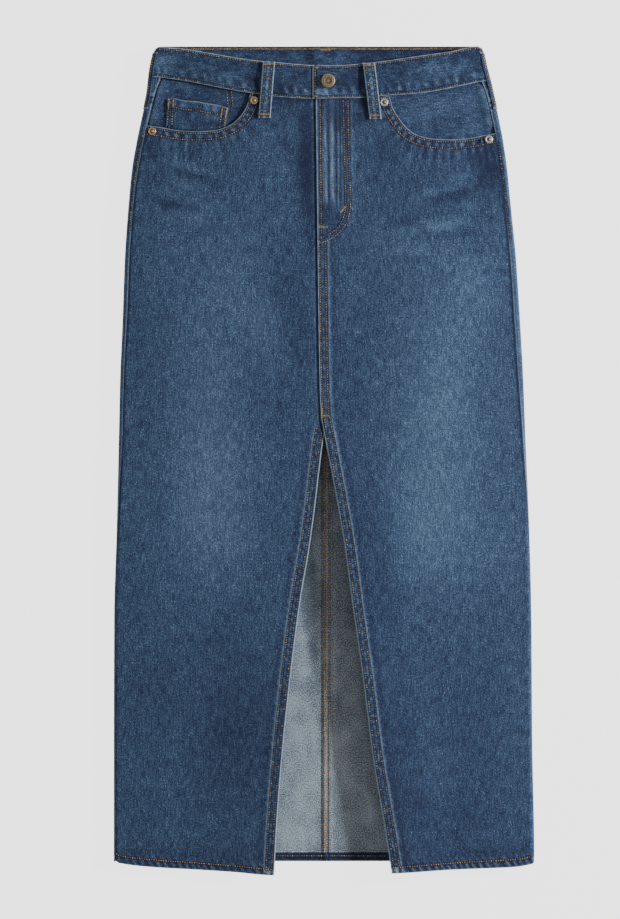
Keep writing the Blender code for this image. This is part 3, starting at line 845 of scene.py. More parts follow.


# ---- Wash: where the indigo is worn away, and patches of painted shade ----


@dataclass(frozen=True)
class DenimWash:
    """How light the indigo is over the skirt, from 0, raw, to 1, faded, with a few patches of painted shade.
    """

    base: float = 0.37
    patches: tuple[Wash, ...] = (
        # Left thigh: a fade that leans in to the centre, and a lower one
        Wash((-128, 188), (46, 95), 0.22), Wash((-66, 147), (20, 75), 0.17, 26),
        Wash((-140, 71), (46, 80), 0.15), Wash((-134, -52), (50, 98), 0.38),
        Wash((-218, 165), (14, 90), -0.10), Wash((-38, 200), (16, 60), -0.16, 14),
        # Right thigh: brightest from the hip down
        Wash((171, 200), (28, 62), 0.24, -12), Wash((142, 82), (42, 84), 0.35),
        Wash((124, -52), (54, 88), 0.36), Wash((160, -117), (60, 50), 0.10),
        Wash((101, 247), (44, 32), 0.08), Wash((136, 312), (60, 20), -0.02),
        Wash((221, 12), (12, 180), 0.06), Wash((30, 141), (24, 75), -0.04),
        Wash((-40, 110), (34, 90), -0.18), Wash((150, 400), (60, 40), -0.10),
        # Darker patches: unfaded beside the fly, under the band and the left outer rivet, and down at the
        # hem; painted shade below the right outer rivet and at the slit's top
        Wash((-20, 350), (10, 62), -0.78), Wash((60, 330), (20, 60), -0.06),
        # The patch at (-3, 37) is painted shade on the left panel beside the lap at the slit's top
        Wash((-3, 37), (3.4, 11), -0.6), Wash((140, -425), (110, 45), -0.17),
        Wash((-150, 395), (60, 60), -0.04), Wash((115, 335), (70, 50), -0.13),
        Wash((-195, 220), (32, 120), 0.07), Wash((-34, 413), (18, 18), -0.24),
        Wash((26, 398), (22, 18), -0.28), Wash((2, 288), (18, 17), -0.26),
        Wash((1, 240), (14, 30), -0.10), Wash((-187, 338), (34, 18), -0.13),
        # The patch at (193, 350) is painted shadow below the right outer rivet
        Wash((-203, 372), (10, 24), -0.25), Wash((193, 350), (17, 36), -0.62),
        Wash((89, 364), (16, 12), -0.14), Wash((-134, -329), (120, 115), -0.15),
        Wash((125, -340), (84, 130), -0.20), Wash((207, -352), (22, 110), 0.05),
        Wash((0, -460), (270, 13), -0.12),
        # Unfaded along the slit's right edge
        Wash((60, -112), (28, 140), -0.28, 9.6), Wash((92, -370), (20, 80), -0.12, 9.6),
        # Less worn on the hips, and at the fly's foot and head
        Wash((155, 288), (32, 10), -0.34), Wash((146, 325), (22, 9), -0.22),
        Wash((-165, 306), (24, 10), -0.30), Wash((-13, 262), (10, 32), -0.26),
        Wash((12, 400), (17, 10), -0.24), Wash((180, 250), (18, 26), -0.14),
    )
    # Unfaded places on the waistband, and painted shadow that the belt loops cast on the band and the panels
    # beside them
    band_patches: tuple[Wash, ...] = (
        Wash((-81, 441), (8, 20), -0.42), Wash((-83, 412), (8, 14), -0.40),
        Wash((-33, 446), (17, 13), -0.24), Wash((27, 444), (16, 11), -0.50),
        Wash((45, 440), (8, 22), -0.40), Wash((48, 410), (8, 14), -0.36),
        Wash((-185, 470), (14, 14), 0.10), Wash((-3, 431), (10, 6), 0.42),
        Wash((150, 462), (40, 14), 0.05), Wash((24, 436), (10, 8), -0.24),
        Wash((-52, 438), (8, 26), -0.26), Wash((-164, 437), (22, 8), 0.28),
        Wash((-158, 475), (26, 9), 0.20),
    )
    crease_strength: float = 2.8
    mottle_seed: int = 11
    mottle: float = 0.045
    # From here to here up the skirt the mottle gets finer
    fine_span: Point = (180.0, 330.0)

    def apply(self, relief: Relief, x: Array, y: Array, drape: Array | float = 1.0) -> None:
        """Adds the fades, the worn creases, the painted shadow beside the belt loops and a soft mottle to a
        piece.

        Args:
            relief: The piece's relief.
            x: Where each place is across the skirt.
            y: Where it is up the skirt.
            drape: How much of the fades and creases reach the piece.
        """
        for patch in self.patches:
            relief.add(patch.weight(x, y), tone=patch.tone * drape)
        # Band patches: unfaded places, and painted shadow beside the belt loops
        for patch in self.band_patches:
            relief.add(patch.weight(x, y), tone=patch.tone)
        for crease in FORM.creases:
            relief.add(crease.weight(x, y), tone=crease.tone * drape * self.crease_strength)
        noise = SoftNoise(self.mottle_seed)
        high = ramp(y, *self.fine_span)
        relief.add(noise(x / 31.0, y / 52.0), tone=self.mottle)
        relief.add(noise(x / 8.0 + 20.0, y / 19.0), tone=self.mottle)
        relief.add(noise(x / 3.6, y / 12.0 + 9.0), tone=self.mottle * (0.6 + 0.9 * high))
        relief.add(noise(x / 17.0 + 5.0, y / 6.0) * high, tone=self.mottle)


WASH = DenimWash()


# ---- Cloth pieces ----


@dataclass(frozen=True)
class Hem:
    """A hem turned in once: its depth, stitch row, roping and wall."""

    depth: float
    row: float
    period: float = 8.5
    slant: float = 0.6
    wall: float = 2.2
    strength: float = 1.0
    seed: int = 31
    rise: float = 0.0
    rise_span: Point = (80.0, 235.0)
    bare_span: Point = (60.0, 90.0)

    def steps(self) -> Array:
        """Distances up from the folded edge at which the hem needs rows."""
        depth = self.depth
        inner = spread((1.6, 0.9), (depth - 0.6, 0.5), (depth + 1.0, 1.2), (depth + 15.0, 1.0))
        return np.concatenate([EDGE_STEPS[:-1], inner])

    def thickness(self, up: Array, wall: float) -> Array:
        """The wall at a distance up from the folded edge."""
        return mix(self.wall, wall, ramp(up, self.depth, self.depth + 0.7))

    def row_at(self, x: Array) -> Array:
        """How far up the stitch row runs, a little higher towards the side seams."""
        return self.row + self.rise * ramp(np.abs(x), *self.rise_span)

    def shape(self, relief: Relief, up: Array, along: Array) -> None:
        """Adds the roping, the stitch row and the worn fold.

        Args:
            relief: The relief that it is added to.
            up: Distance up from the folded edge.
            along: Distance along the hem.
        """
        row = self.row_at(along)
        waves = rope(along + self.slant * up, self.period, self.seed)
        band = window(up, (0.3, 2.0), (row - 0.4, row + 0.6))
        bare = 0.42 * self.strength * (0.7 + 0.5 * ramp(along, *self.bare_span))
        relief.roped(band, waves, 0.38 * self.strength, 0.42 * self.strength, bare)
        relief.add(band, tone=-0.26)
        above = ramp(up, row, row + 1.2) * fade(up - row, 7.0)
        relief.roped(above, waves, 0.24 * self.strength, 0.24 * self.strength, 0.16 * self.strength)
        relief.add(bump(up, 0.5, 0.9) * (0.7 + 0.3 * waves), scuff=0.42)
        relief.add(bump(up, row + 7.0, 6.0), tone=-0.12)
        relief.stitched(up - row)


FRONT_HEM = Hem(depth=11.0, row=7.2, rise=1.7)
BACK_HEM = Hem(depth=10.6, row=6.4, strength=0.7, seed=47)


@dataclass(frozen=True)
class SideSeam:
    """How plainly a side seam shows: faint down the thigh, and rubbed smooth over the right hip."""

    faint: float = 0.15
    faint_span: Point = (-120.0, -20.0)
    hip: float = 345.0
    hip_rub: float = 0.8

    def shown(self, y: Array) -> Array:
        """How plainly the seam shows at a height."""
        return self.faint + (1.0 - self.faint) * ramp(y, *self.faint_span)

    def kept(self, side: Side, y: Array, reach: float) -> Array:
        """How much of its edge the rubbing leaves, which reaches so far up and down the hip."""
        return 1.0 - self.hip_rub * bump(y, self.hip, reach) * (side == Side.RIGHT)


SIDE_SEAM = SideSeam()


@dataclass(frozen=True)
class Placket:
    """The edges down the centre front: fly, centre seam and slit, with their stitch rows.

    Distances are in from the panel's own edge.
    """

    slit_top: float = 41.0
    lap_end: Point = (4.0, 18.0)
    slit_rows: Point = (3.5, 10.0)
    seam_rows: Point = (2.5, 9.5)
    band: float = 12.3
    fly_row: float = 5.0
    fly_foot: float = 266.0
    seam_top: float = 258.0
    lap_lift: float = 0.8
    tongue_drop: float = 0.9
    fly_width: Table = Table((424, 40), (300, 40), (285, 36), (270, 28), (258, 12), (-486, 12))
    fly_inner: tuple[Point, ...] = (
        (22.3, 424), (23.9, 352), (25, 302), (23.1, 286.1), (17.8, 274.3), (9, 266.5), (-0.8, 261.4),
        (-6, 259.6),
    )
    fly_outer: tuple[Point, ...] = (
        (27.8, 424), (29.3, 352), (30.9, 302), (29.5, 288), (24.7, 275.3), (15.9, 264.5), (5.1, 257.7),
        (-6.6, 253.6),
    )
    # Wash streaks down the fly: distance in from its edge, half width, strength
    streaks: tuple[tuple[float, float, float], ...] = (
        (7.6, 1.0, 0.35), (10.6, 1.5, 0.85), (16.2, 0.8, 0.3), (19.0, 2.1, 1.0), (25.7, 0.9, 0.55),
        (30.2, 0.9, 0.4),
    )
    troughs: tuple[float, ...] = (14.4, 23.2, 27.8)
    streak_span: tuple[float, float, float, float] = (292.0, 312.0, 380.0, 412.0)


PLACKET = Placket()


@dataclass(frozen=True)
class ScoopHem:
    """The double-stitched edge of a pocket scoop."""

    wall: float = 1.5
    rows: Point = (3.0, 10.4)
    period: float = 7.6
    seed: int = 61


SCOOP_HEM = ScoopHem()


@dataclass
class FrontPanel:
    """A front panel, from the pocket scoop and waistband seam down to the hem."""

    side: Side
    fit: float = 0.06
    wall: float = 1.1
    top_zone: float = 345.0
    even_zone: float = 200.0
    row_step: float = 3.3
    column_split: int = 5
    side_reach: float = 18.0
    # Where the even rows end, above the hem's own
    hem_zone: float = -440.0
    centre_reach: dict[Side, float] = by_side(34.0, 44.0)
    centre_step: dict[Side, float] = by_side(2.2, 1.25)
    # Places between the side and the centre, as x at the top
    top_places: dict[Side, tuple[float, ...]] = by_side(
        (-188.0, -169.0, -149.0, -129.0, -115.5, -106.0, -97.5, -90.5, -86.5, -78.0, -55.0),
        (184.0, 169.0, 150.0, 131.5, 118.0, 106.0, 95.8, 86.4, 80.8, 76.5, 69.0, 52.0),
    )

    @property
    def node(self) -> str:
        """The solid that the panel stands for."""
        return f"front_panel_{self.side.word}"

    def columns(self) -> tuple[Array, Array, Array]:
        """Offsets from the side seam, places between, counted in stations, and offsets from the centre.

        Returns:
            The three parts, from the side to the centre.
        """
        sides = np.concatenate([EDGE_STEPS, spread((2.4, 1.3), (8.0, 2.3), (self.side_reach, 1.0))])
        last = len(self.top_places[self.side]) + 1
        between = np.linspace(0.0, last, last * self.column_split + 1)[1:-1]
        reach, step = self.centre_reach[self.side], self.centre_step[self.side]
        centres = spread((reach, step), (14.0, 0.85), (1.6, 1.0))
        return sides, between, np.concatenate([centres, EDGE_STEPS[-2::-1]])

    def girths(self, y: Array) -> Array:
        """The girth of every column at its own y.

        Args:
            y: The y of the places.

        Returns:
            The girths, with a last axis of the columns.
        """
        sides, between, centres = self.columns()
        start = FORM.seam_girth(self.side, y) + self.fit / 2.0
        edge = FORM.front_girth(self.side, FORM.centre_edge(self.side, y), y)
        n, m = len(sides), len(sides) + len(between)
        first, final = start[..., n:m] + sides[-1], edge[..., n:m] - centres[0]
        places = np.array([0.0, *self.top_places[self.side], 0.0])
        even = 1.0 - ramp(y[..., n:m], self.even_zone, self.top_zone)
        last = len(places) - 1

        def station(k: Array) -> Array:
            """The girth of whole stations: even far down the panel, and at their x at its top.

            Args:
                k: Which stations, counted from the side.

            Returns:
                Their girths.
            """
            at_x = FORM.front_girth(self.side, places[k], y[..., n:m])
            value = mix(at_x, mix(first, final, k / last), even)
            return np.where(k == 0, first, np.where(k == last, final, value))

        low = np.floor(between).astype(int)
        middles = mix(station(low), station(low + 1), between - low)
        return np.concatenate([start[..., :n] + sides, middles, edge[..., m:] - centres], axis=-1)

    def rows(self) -> tuple[Array, Array, Array]:
        """The y of every place, with the top and bottom edge of each column.

        Returns:
            The y of the rows and columns, and the two edges as one row each.
        """
        sides, between, centres = self.columns()
        count = len(sides) + len(between) + len(centres)

        def x_at(y: Array) -> Array:
            """The x of every column at its own y."""
            return FORM.x_at(self.side, self.girths(y), y)

        top = settle(lambda y: FORM.panel_top(self.side, x_at(y)), np.full((1, count), self.top_zone))
        bottom = settle(lambda y: FORM.front_hem(x_at(y)), np.full((1, count), FORM.back_hem))
        hem = FRONT_HEM.steps()[::-1]
        depths = np.concatenate([EDGE_STEPS, spread((2.3, 0.75), (12.5, 1.2), (15.0, 1.0))])[:, None]
        zone = np.linspace(0.0, 1.0, 17)[1:, None]
        even = np.arange(self.top_zone - self.row_step, self.hem_zone, -self.row_step)[:, None]
        even = even + np.zeros((1, count))
        join = np.linspace(0.0, 1.0, 4)[1:-1, None]
        rows = [
            top - depths,
            mix(top - depths[-1], self.top_zone, zone),
            even,
            mix(even[-1], bottom + hem[0], join),
            bottom + hem[:, None],
        ]
        return np.concatenate(rows), top, bottom

    def lap(self, x: Array, y: Array) -> Array:
        """The right panel's fly and seam lap stand over the left panel's tongue.

        Args:
            x: Where each place is across the skirt.
            y: Where it is up the skirt.

        Returns:
            The lift at each place.
        """
        lap = ramp(y, *PLACKET.lap_end)
        edge = FORM.centre_front(y, 1)
        if self.side == Side.LEFT:
            return -PLACKET.tongue_drop * lap * ramp(x, edge - 4.5, edge - 1.0)
        width = PLACKET.fly_width(y)
        return PLACKET.lap_lift * lap * (1.0 - ramp(x, edge + width, edge + width + 4.0))

    def dress_slit(self, relief: Relief, inset: Array, y: Array) -> None:
        """The folded strip along the slit, with its two rows.

        Args:
            relief: The relief that it is added to.
            inset: Distance in from the panel's centre edge.
            y: Where it is up the skirt.
        """
        below = 1.0 - ramp(y, PLACKET.slit_top - 8.0, PLACKET.slit_top + 4.0)
        waves = rope(y + 0.5 * inset, 5.6, 71 + self.side)
        is_right = self.side == Side.RIGHT
        relief.add(below * bump(inset, 0.45, 0.8), scuff=0.9)
        relief.roped(below * bump(inset, 6.8, 2.4), waves, 0.2, 0.42, 0.42 if is_right else 0.26)
        relief.add(below * bump(inset, 6.0, 5.0), tone=0.04 if is_right else -0.10)
        relief.add(below * bump(inset, 1.9, 0.9) * (0.5 + 0.5 * waves), tone=0.14)
        relief.add(below * bump(inset, PLACKET.band, 1.3), lift=0.26, tone=0.24, scuff=0.30)
        relief.add(below * bump(inset, PLACKET.band + 5.5, 3.4), lift=-0.16, tone=-0.2)
        relief.add(below * bump(inset, PLACKET.band + 1.5, 2.5) * waves, lift=0.14, tone=0.22, scuff=0.1)
        for row in PLACKET.slit_rows:
            relief.stitched(inset - row, below)

    def dress_fly(self, relief: Relief, inset: Array, x: Array, y: Array) -> None:
        """The fly's edge, streaks and stitch rows, and the centre seam below it.

        Args:
            relief: The relief that it is added to.
            inset: Distance in from the panel's centre edge.
            x: Where each place is across the skirt.
            y: Where it is up the skirt.
        """
        above = ramp(y, PLACKET.slit_top - 4.0, PLACKET.slit_top + 8.0)
        fly = ramp(y, PLACKET.seam_top - 4.0, PLACKET.seam_top + 4.0)
        seam = above * (1.0 - fly)
        worn = 0.75 + 0.25 * rope(y, 23.0, 83)
        relief.add(above * bump(inset, 0.6, 1.0) * worn, scuff=1.25)
        relief.add(above * bump(inset, 2.2, 1.6) * worn, tone=0.22)
        low, full, fading, high = PLACKET.streak_span
        span = ramp(y, low, full) * (1.0 - 0.75 * ramp(y, fading, high))
        uneven = 0.72 + 0.42 * SoftNoise(89)(y / 13.0, inset / 2.6)
        for middle, half_width, strength in PLACKET.streaks:
            wander = 0.8 * SoftNoise(211)(y / 23.0, middle)
            weight = bump(inset, middle + wander, half_width) * span * uneven * strength
            relief.add(weight, lift=0.40, tone=0.60, scuff=0.46)
        between = sum(bump(inset, place, 1.3) for place in PLACKET.troughs)
        relief.add(between * span, lift=-0.2, tone=-0.42)
        relief.add(bump(inset, 18.0, 13.0) * fly * SoftNoise(229)(x / 1.1, y / 17.0), tone=0.16)
        relief.add(bump(inset, 8.0, 9.0) * ramp(y, 398.0, 416.0), tone=-0.2)
        relief.stitched(inset - PLACKET.fly_row, fly * ramp(y, PLACKET.fly_foot - 2.0, PLACKET.fly_foot))
        for row in (PLACKET.fly_inner, PLACKET.fly_outer):
            distance, along = nearest(x, y, smooth_line(row, 8.0))
            relief.stitched(distance, fly)
            beside = bump(np.abs(distance), 3.0, 2.2) * fly
            relief.add(beside * rope(along, 9.0, 97), lift=0.10, tone=0.10)
            outside = bump(distance, 5.5, 4.5) * (distance > 0.0) * fly
            ridges = np.maximum(rope(along + 1.2 * distance, 13.0, 239), 0.0)
            relief.add(outside * ridges, lift=0.12, tone=0.30)
        for row in PLACKET.seam_rows:
            relief.stitched(inset - row, seam)
        waves = rope(y, 9.5, 101)
        relief.roped(seam * bump(inset, 6.0, 2.2), waves, 0.2, 0.30, 0.2)
        ridge = seam * bump(inset, PLACKET.band, 1.2) * (0.8 + 0.2 * waves)
        relief.add(ridge, lift=0.2, tone=0.18, scuff=0.2)
        relief.add(seam * bump(inset, PLACKET.band + 6.0, 4.0), tone=-0.14)

    def dress_scoop(self, relief: Relief, x: Array, y: Array) -> None:
        """The scoop's worn edge, its two rows, and the puckers between and below them.

        Args:
            relief: The relief that it is added to.
            x: Where each place is across the skirt.
            y: Where it is up the skirt.
        """
        corner = FORM.scoop_corner[self.side]
        across = np.linspace(0.0, 1.0, 46)
        line_x = mix(corner, self.side * 214.0, across**1.5)
        line = np.stack([line_x, FORM.scoops[self.side](line_x)], axis=1)
        distance, along = nearest(x, y, line)
        inset = np.abs(distance)
        low, high = SCOOP_HEM.rows
        band = 1.0 - ramp(inset, high + 0.4, high + 2.0)
        relief.add(band, lift=0.22)
        relief.add(bump(inset, 0.5, 0.75) * (0.75 + 0.3 * rope(along, 5.1, 233)), scuff=0.85)
        relief.add(bump(inset, 1.7, 1.2), tone=0.06)
        waves = rope(along, SCOOP_HEM.period, SCOOP_HEM.seed + self.side)
        between = window(inset, (low, low + 1.5), (high - 1.5, high))
        relief.roped(between, waves, 0.30, 0.72, 0.54)
        relief.add(between, tone=-0.18)
        rays = rope(along, 8.6, SCOOP_HEM.seed + 5 * self.side)
        below = ramp(inset, high, high + 1.5) * fade(inset - high, 12.0)
        relief.roped(below, rays, 0.30, 0.52, 0.12)
        relief.add(below * rope(along, 4.3, SCOOP_HEM.seed + 9), tone=0.26)
        relief.add(below, tone=-0.10)
        for row in SCOOP_HEM.rows:
            relief.stitched(inset - row)

    def grid(self) -> ClothGrid:
        """The panel's rows and columns, with all its relief.

        Returns:
            The grid.
        """
        y, top, bottom = self.rows()
        girth = self.girths(y)
        x = FORM.x_at(self.side, girth, y)
        edge = FORM.centre_edge(self.side, y)
        slope = np.gradient(FORM.centre_edge(self.side, y[:, -1]), y[:, -1])[:, None]
        inset = self.side * (x - edge) / np.sqrt(1.0 + slope**2)
        from_seam = girth - FORM.seam_girth(self.side, y)
        up, down = y - bottom, top - y
        relief = Relief.flat(x, WASH.base)
        WASH.apply(relief, x, y)
        self.dress_slit(relief, inset, y)
        if self.side == Side.RIGHT:
            self.dress_fly(relief, inset, x, y)
        self.dress_scoop(relief, x, y)
        FRONT_HEM.shape(relief, up, x)
        # Painted shadow: a dark line on the front panel beside the side seam's edge
        painted_seam_shadow = SIDE_SEAM.shown(y) * SIDE_SEAM.kept(self.side, y, 50.0)
        relief.add(bump(from_seam, 0.7, 1.5) * painted_seam_shadow, tone=-0.75)
        relief.add(bump(from_seam, 5.5, 2.6) * rope(y, 17.0, 241 + self.side), tone=0.16)
        middle = np.abs(x) < np.abs(FORM.scoop_corner[self.side])
        # Painted shadow on the panel just under the waistband
        relief.add(fade(down, 9.0) * middle, tone=-0.2)
        relief.add(fade(down, 2.2) * middle, tone=-0.4)
        relief.add(fade(down, 16.0) * rope(x + 0.1 * down, 6.2, 107) * middle, lift=0.12, tone=0.16)
        corner = bump(up, 3.5, 4.0) * bump(inset, 5.0, 5.5)
        relief.add(corner, scuff=0.75, tone=0.15)
        wall = FRONT_HEM.thickness(up, self.wall)
        strip = mix(FRONT_HEM.wall, self.wall, ramp(y, *PLACKET.lap_end))
        wall = np.maximum(wall, mix(strip, self.wall, ramp(inset, PLACKET.band, PLACKET.band + 0.7)))
        beyond = self.side * (x - FORM.scoop_corner[self.side]) > -0.5
        wall = np.where(beyond & (down < SCOOP_HEM.rows[1]), np.maximum(wall, SCOOP_HEM.wall), wall)
        turned = (up < FRONT_HEM.depth) | ((inset < PLACKET.band) & (y < PLACKET.slit_top))
        edges = (up, down, inset, from_seam)
        lift = self.lap(x, y) + relief.lift
        return ClothGrid(self.side, girth, y, lift, wall, relief, turned, edges)

    def build(self, fabric: "FabricLook") -> Piece:
        return sew_in(self.node, self.grid(), fabric)


@dataclass
class BackPiece:
    """A back panel or yoke: round the fold from the side seam, then under to the centre back."""

    side: Side
    is_yoke: bool
    fit: float = 0.06
    wall: float = 1.1
    centre_lap: float = 0.05
    felled_wall: float = 1.6
    fell: float = 12.0
    seam_row: float = 2.3
    seam_row_foot: dict[Side, float] = by_side(268.0, 259.0)
    seam_row_top: dict[Side, float] = by_side(380.0, 370.0)
    row_step: float = 4.4
    # Between these the rows are even: under the yoke seam, and so far above the hem's edge
    top_zone: float = 345.0
    hem_zone: float = 27.0
    yoke_rows: Point = (2.4, 8.6)
    centre_rows: Point = (3.0, 8.8)

    @property
    def node(self) -> str:
        """The solid that the piece stands for."""
        return f"back_{'yoke' if self.is_yoke else 'panel'}_{self.side.word}"

    def columns(self) -> tuple[Array, Array, Array, Array]:
        """Offsets from the seam, parts round the fold, parts under the back, and offsets from the centre.

        Returns:
            The four parts, from the seam to the centre.
        """
        sides = np.concatenate([EDGE_STEPS, spread((2.3, 0.8), (5.5, 1.0))])
        fold = np.linspace(0.0, 1.0, 13)[1:]
        under = np.linspace(0.0, 1.0, 44)[1:-1]
        centres = np.concatenate([spread((26.0, 2.0), (14.0, 0.7), (1.6, 1.0)), EDGE_STEPS[-2::-1]])
        return sides, fold, under, centres

    def girths(self, y: Array) -> Array:
        """The girth of every column at its own y.

        Args:
            y: The y of the places.

        Returns:
            The girths, with a last axis of the columns.
        """
        sides, fold, under, centres = self.columns()
        start = FORM.seam_girth(self.side, y) - self.fit / 2.0
        turn = -FORM.quarter_turn(self.side, y)
        centre = FORM.back_girth(self.side, FORM.centre_back, y) - self.centre_lap / 2.0
        a, b, c = np.cumsum([len(sides), len(fold), len(under)])
        return np.concatenate(
            [
                start[..., :a] - sides,
                mix(start[..., a:b] - sides[-1], turn[..., a:b], fold),
                mix(turn[..., b:c], centre[..., b:c] + centres[0], under),
                centre[..., c:] + centres,
            ],
            axis=-1,
        )

    def rows(self) -> tuple[Array, Array, Array]:
        """The y of every place, with the top and bottom edge of each column.

        Returns:
            The y of the rows and columns, and the two edges as one row each.
        """
        count = sum(len(part) for part in self.columns())
        first = np.full((1, count), 400.0)
        if self.is_yoke:
            top = settle(lambda y: FORM.band_edge(self.side, self.girths(y), y, 1) - self.fit, first)
            bottom = settle(lambda y: FORM.yoke_edge(self.side, self.girths(y), y), first)
        else:
            top = settle(lambda y: FORM.yoke_edge(self.side, self.girths(y), y) - self.fit, first)
            bottom = np.full((1, count), FORM.back_hem)
        depths = np.concatenate([EDGE_STEPS, spread((2.4, 1.0), (12.0, 1.0))])[:, None]
        if self.is_yoke:
            foot = np.array([*EDGE_STEPS, 2.4])[::-1, None]
            between = np.linspace(0.0, 1.0, 8)[1:-1, None]
            middle = mix(top - np.minimum(depths[-1], 8.0), bottom + foot[0], between)
            short = np.concatenate([EDGE_STEPS, [3.0, 5.0, 8.0]])[:, None]
            return np.concatenate([top - short, middle, bottom + foot]), top, bottom
        hem = BACK_HEM.steps()[::-1, None]
        zone = np.linspace(0.0, 1.0, 14)[1:, None]
        foot = FORM.back_hem + self.hem_zone
        even = np.arange(self.top_zone - self.row_step, foot, -self.row_step)[:, None]
        even = even + np.zeros((1, count))
        parts = [top - depths, mix(top - depths[-1], self.top_zone, zone), even, bottom + hem]
        return np.concatenate(parts), top, bottom

    def grid(self) -> ClothGrid:
        """The piece's rows and columns, with all its relief.

        Returns:
            The grid.
        """
        y, top, bottom = self.rows()
        girth = self.girths(y)
        x = FORM.x_at(self.side, girth, y)
        from_seam = FORM.seam_girth(self.side, y) - girth
        under = ramp(-girth, 0.0, 10.0)
        to_centre = girth - FORM.back_girth(self.side, FORM.centre_back, y)
        inset = np.where(girth < 0.0, to_centre, FAR_OFF)
        up, down = y - bottom, top - y
        relief = Relief.flat(x, WASH.base + 0.02)
        WASH.apply(relief, x, y, mix(0.8, 0.35, under))
        inner = self.blotches(x, y)
        # Painted light on the left fold, which faces away from the lamp, and painted shade on the right fold
        relief.add(bump(girth, 1.0, 5.0), tone=0.04 if self.side == Side.LEFT else -0.04)
        kept = SIDE_SEAM.kept(self.side, y, 45.0)
        relief.add(bump(from_seam, 1.0, 0.75) * kept, scuff=0.42 + 0.35 * ramp(y, 385.0, 400.0))
        relief.add(bump(from_seam, 0.0, 0.5) * SIDE_SEAM.shown(y), tone=-0.4)
        foot, head = self.seam_row_foot[self.side], self.seam_row_top[self.side]
        stitched = window(y, (foot, foot + 3.0), (head, head + 3.0))
        relief.add(bump(from_seam, 2.6, 2.2) * stitched, lift=0.16)
        relief.add(bump(from_seam, 3.4, 1.6) * rope(y, 11.0, 113 + self.side), lift=0.14, tone=0.18)
        relief.stitched(from_seam - self.seam_row, stitched)
        wall, turned = self.wall, False
        if self.is_yoke:
            relief.add(bump(up, 1.0, 1.2), scuff=0.35, tone=0.15)
        else:
            BACK_HEM.shape(relief, up, girth)
            wall = BACK_HEM.thickness(up, self.wall)
            turned = up < BACK_HEM.depth
            inner = inner - 0.6 * (1.0 - ramp(up, BACK_HEM.depth - 0.5, BACK_HEM.depth + 0.5))
            relief.add(bump(down, 1.0, 1.2), lift=0.15, scuff=0.40, tone=0.15)
            for row in self.yoke_rows:
                relief.stitched(down - row)
        if self.side == Side.RIGHT:
            felled = mix(self.felled_wall, self.wall, ramp(inset, self.fell, self.fell + 0.6))
            wall = np.maximum(wall, felled)
            # Painted shadow along the step at the felled strip's edge
            relief.add(bump(inset, self.fell + 0.6, 0.7), tone=-0.3)
            knot = bump(inset, 5.2, 5.0) * ramp(up, BACK_HEM.depth, BACK_HEM.depth - 1.0)
            knot = knot * (not self.is_yoke)
            wall = wall + 0.8 * knot
            inner = inner + 1.6 * knot * (0.6 + 0.4 * rope(x + y, 4.1, 251))
            for row in self.centre_rows:
                relief.stitched(inset - row)
                inner = inner - 0.6 * bump(inset, row, 1.2)
        relief.add(bump(inset, 0.0, 1.0), tone=-0.9)
        near_hem = fade(up - BACK_HEM.depth, 14.0) * under * (not self.is_yoke)
        relief.add(near_hem * rope(x, 10.5, 127), tone=0.12)
        lift = relief.lift * (1.0 - under) - under * (0.25 + np.clip(-relief.lift, -0.2, 0.4))
        wall = wall + 0.2 * near_hem * rope(x, 10.5, 127) * under
        edges = (from_seam, inset, up, down)
        return ClothGrid(self.side, girth, y, lift, wall, relief, turned, edges, inner)

    def blotches(self, x: Array, y: Array) -> Array:
        """How uneven the pale side is, with painted shade: strips and patches beside the centre back, and
        darker up towards the slit's top.

        Args:
            x: Where each place is across the skirt.
            y: Where it is up the skirt.

        Returns:
            The change of tone at each place.
        """
        noise = SoftNoise(223)
        mottled = 0.40 * noise(x / 13.0, y / 19.0) + 0.28 * noise(x / 6.0 + 3.0, y / 8.0)
        # Painted shadow of the front panels: a leaning strip left of the centre back, then all that is right
        # of it, then a narrow strip
        left, right = -28.0 - 0.208 * (y + 170.0), -14.0 - 0.06 * (y + 135.0)
        strip = window(x, (left - 6.0, left + 4.0), (right - 2.0, right + 6.0))
        painted_shadow = 0.9 * strip * window(y, (-265.0, -225.0), (-140.0, -80.0))
        painted_shadow = painted_shadow + 0.45 * ramp(x, 10.0, 18.0) * window(y, (-325.0, -285.0), (-170.0, -70.0))
        painted_shadow = painted_shadow + 0.42 * bump(x, -13.0, 9.0) * window(y, (-335.0, -305.0), (-225.0, -200.0))
        # Darker up towards the slit's top: painted shade where the gap between front and back narrows
        return mottled - painted_shadow - 0.3 * ramp(y, -225.0, -140.0) - 0.36 * ramp(y, -90.0, 10.0)

    def build(self, fabric: "FabricLook") -> Piece:
        """Makes the piece."""
        return sew_in(self.node, self.grid(), fabric)


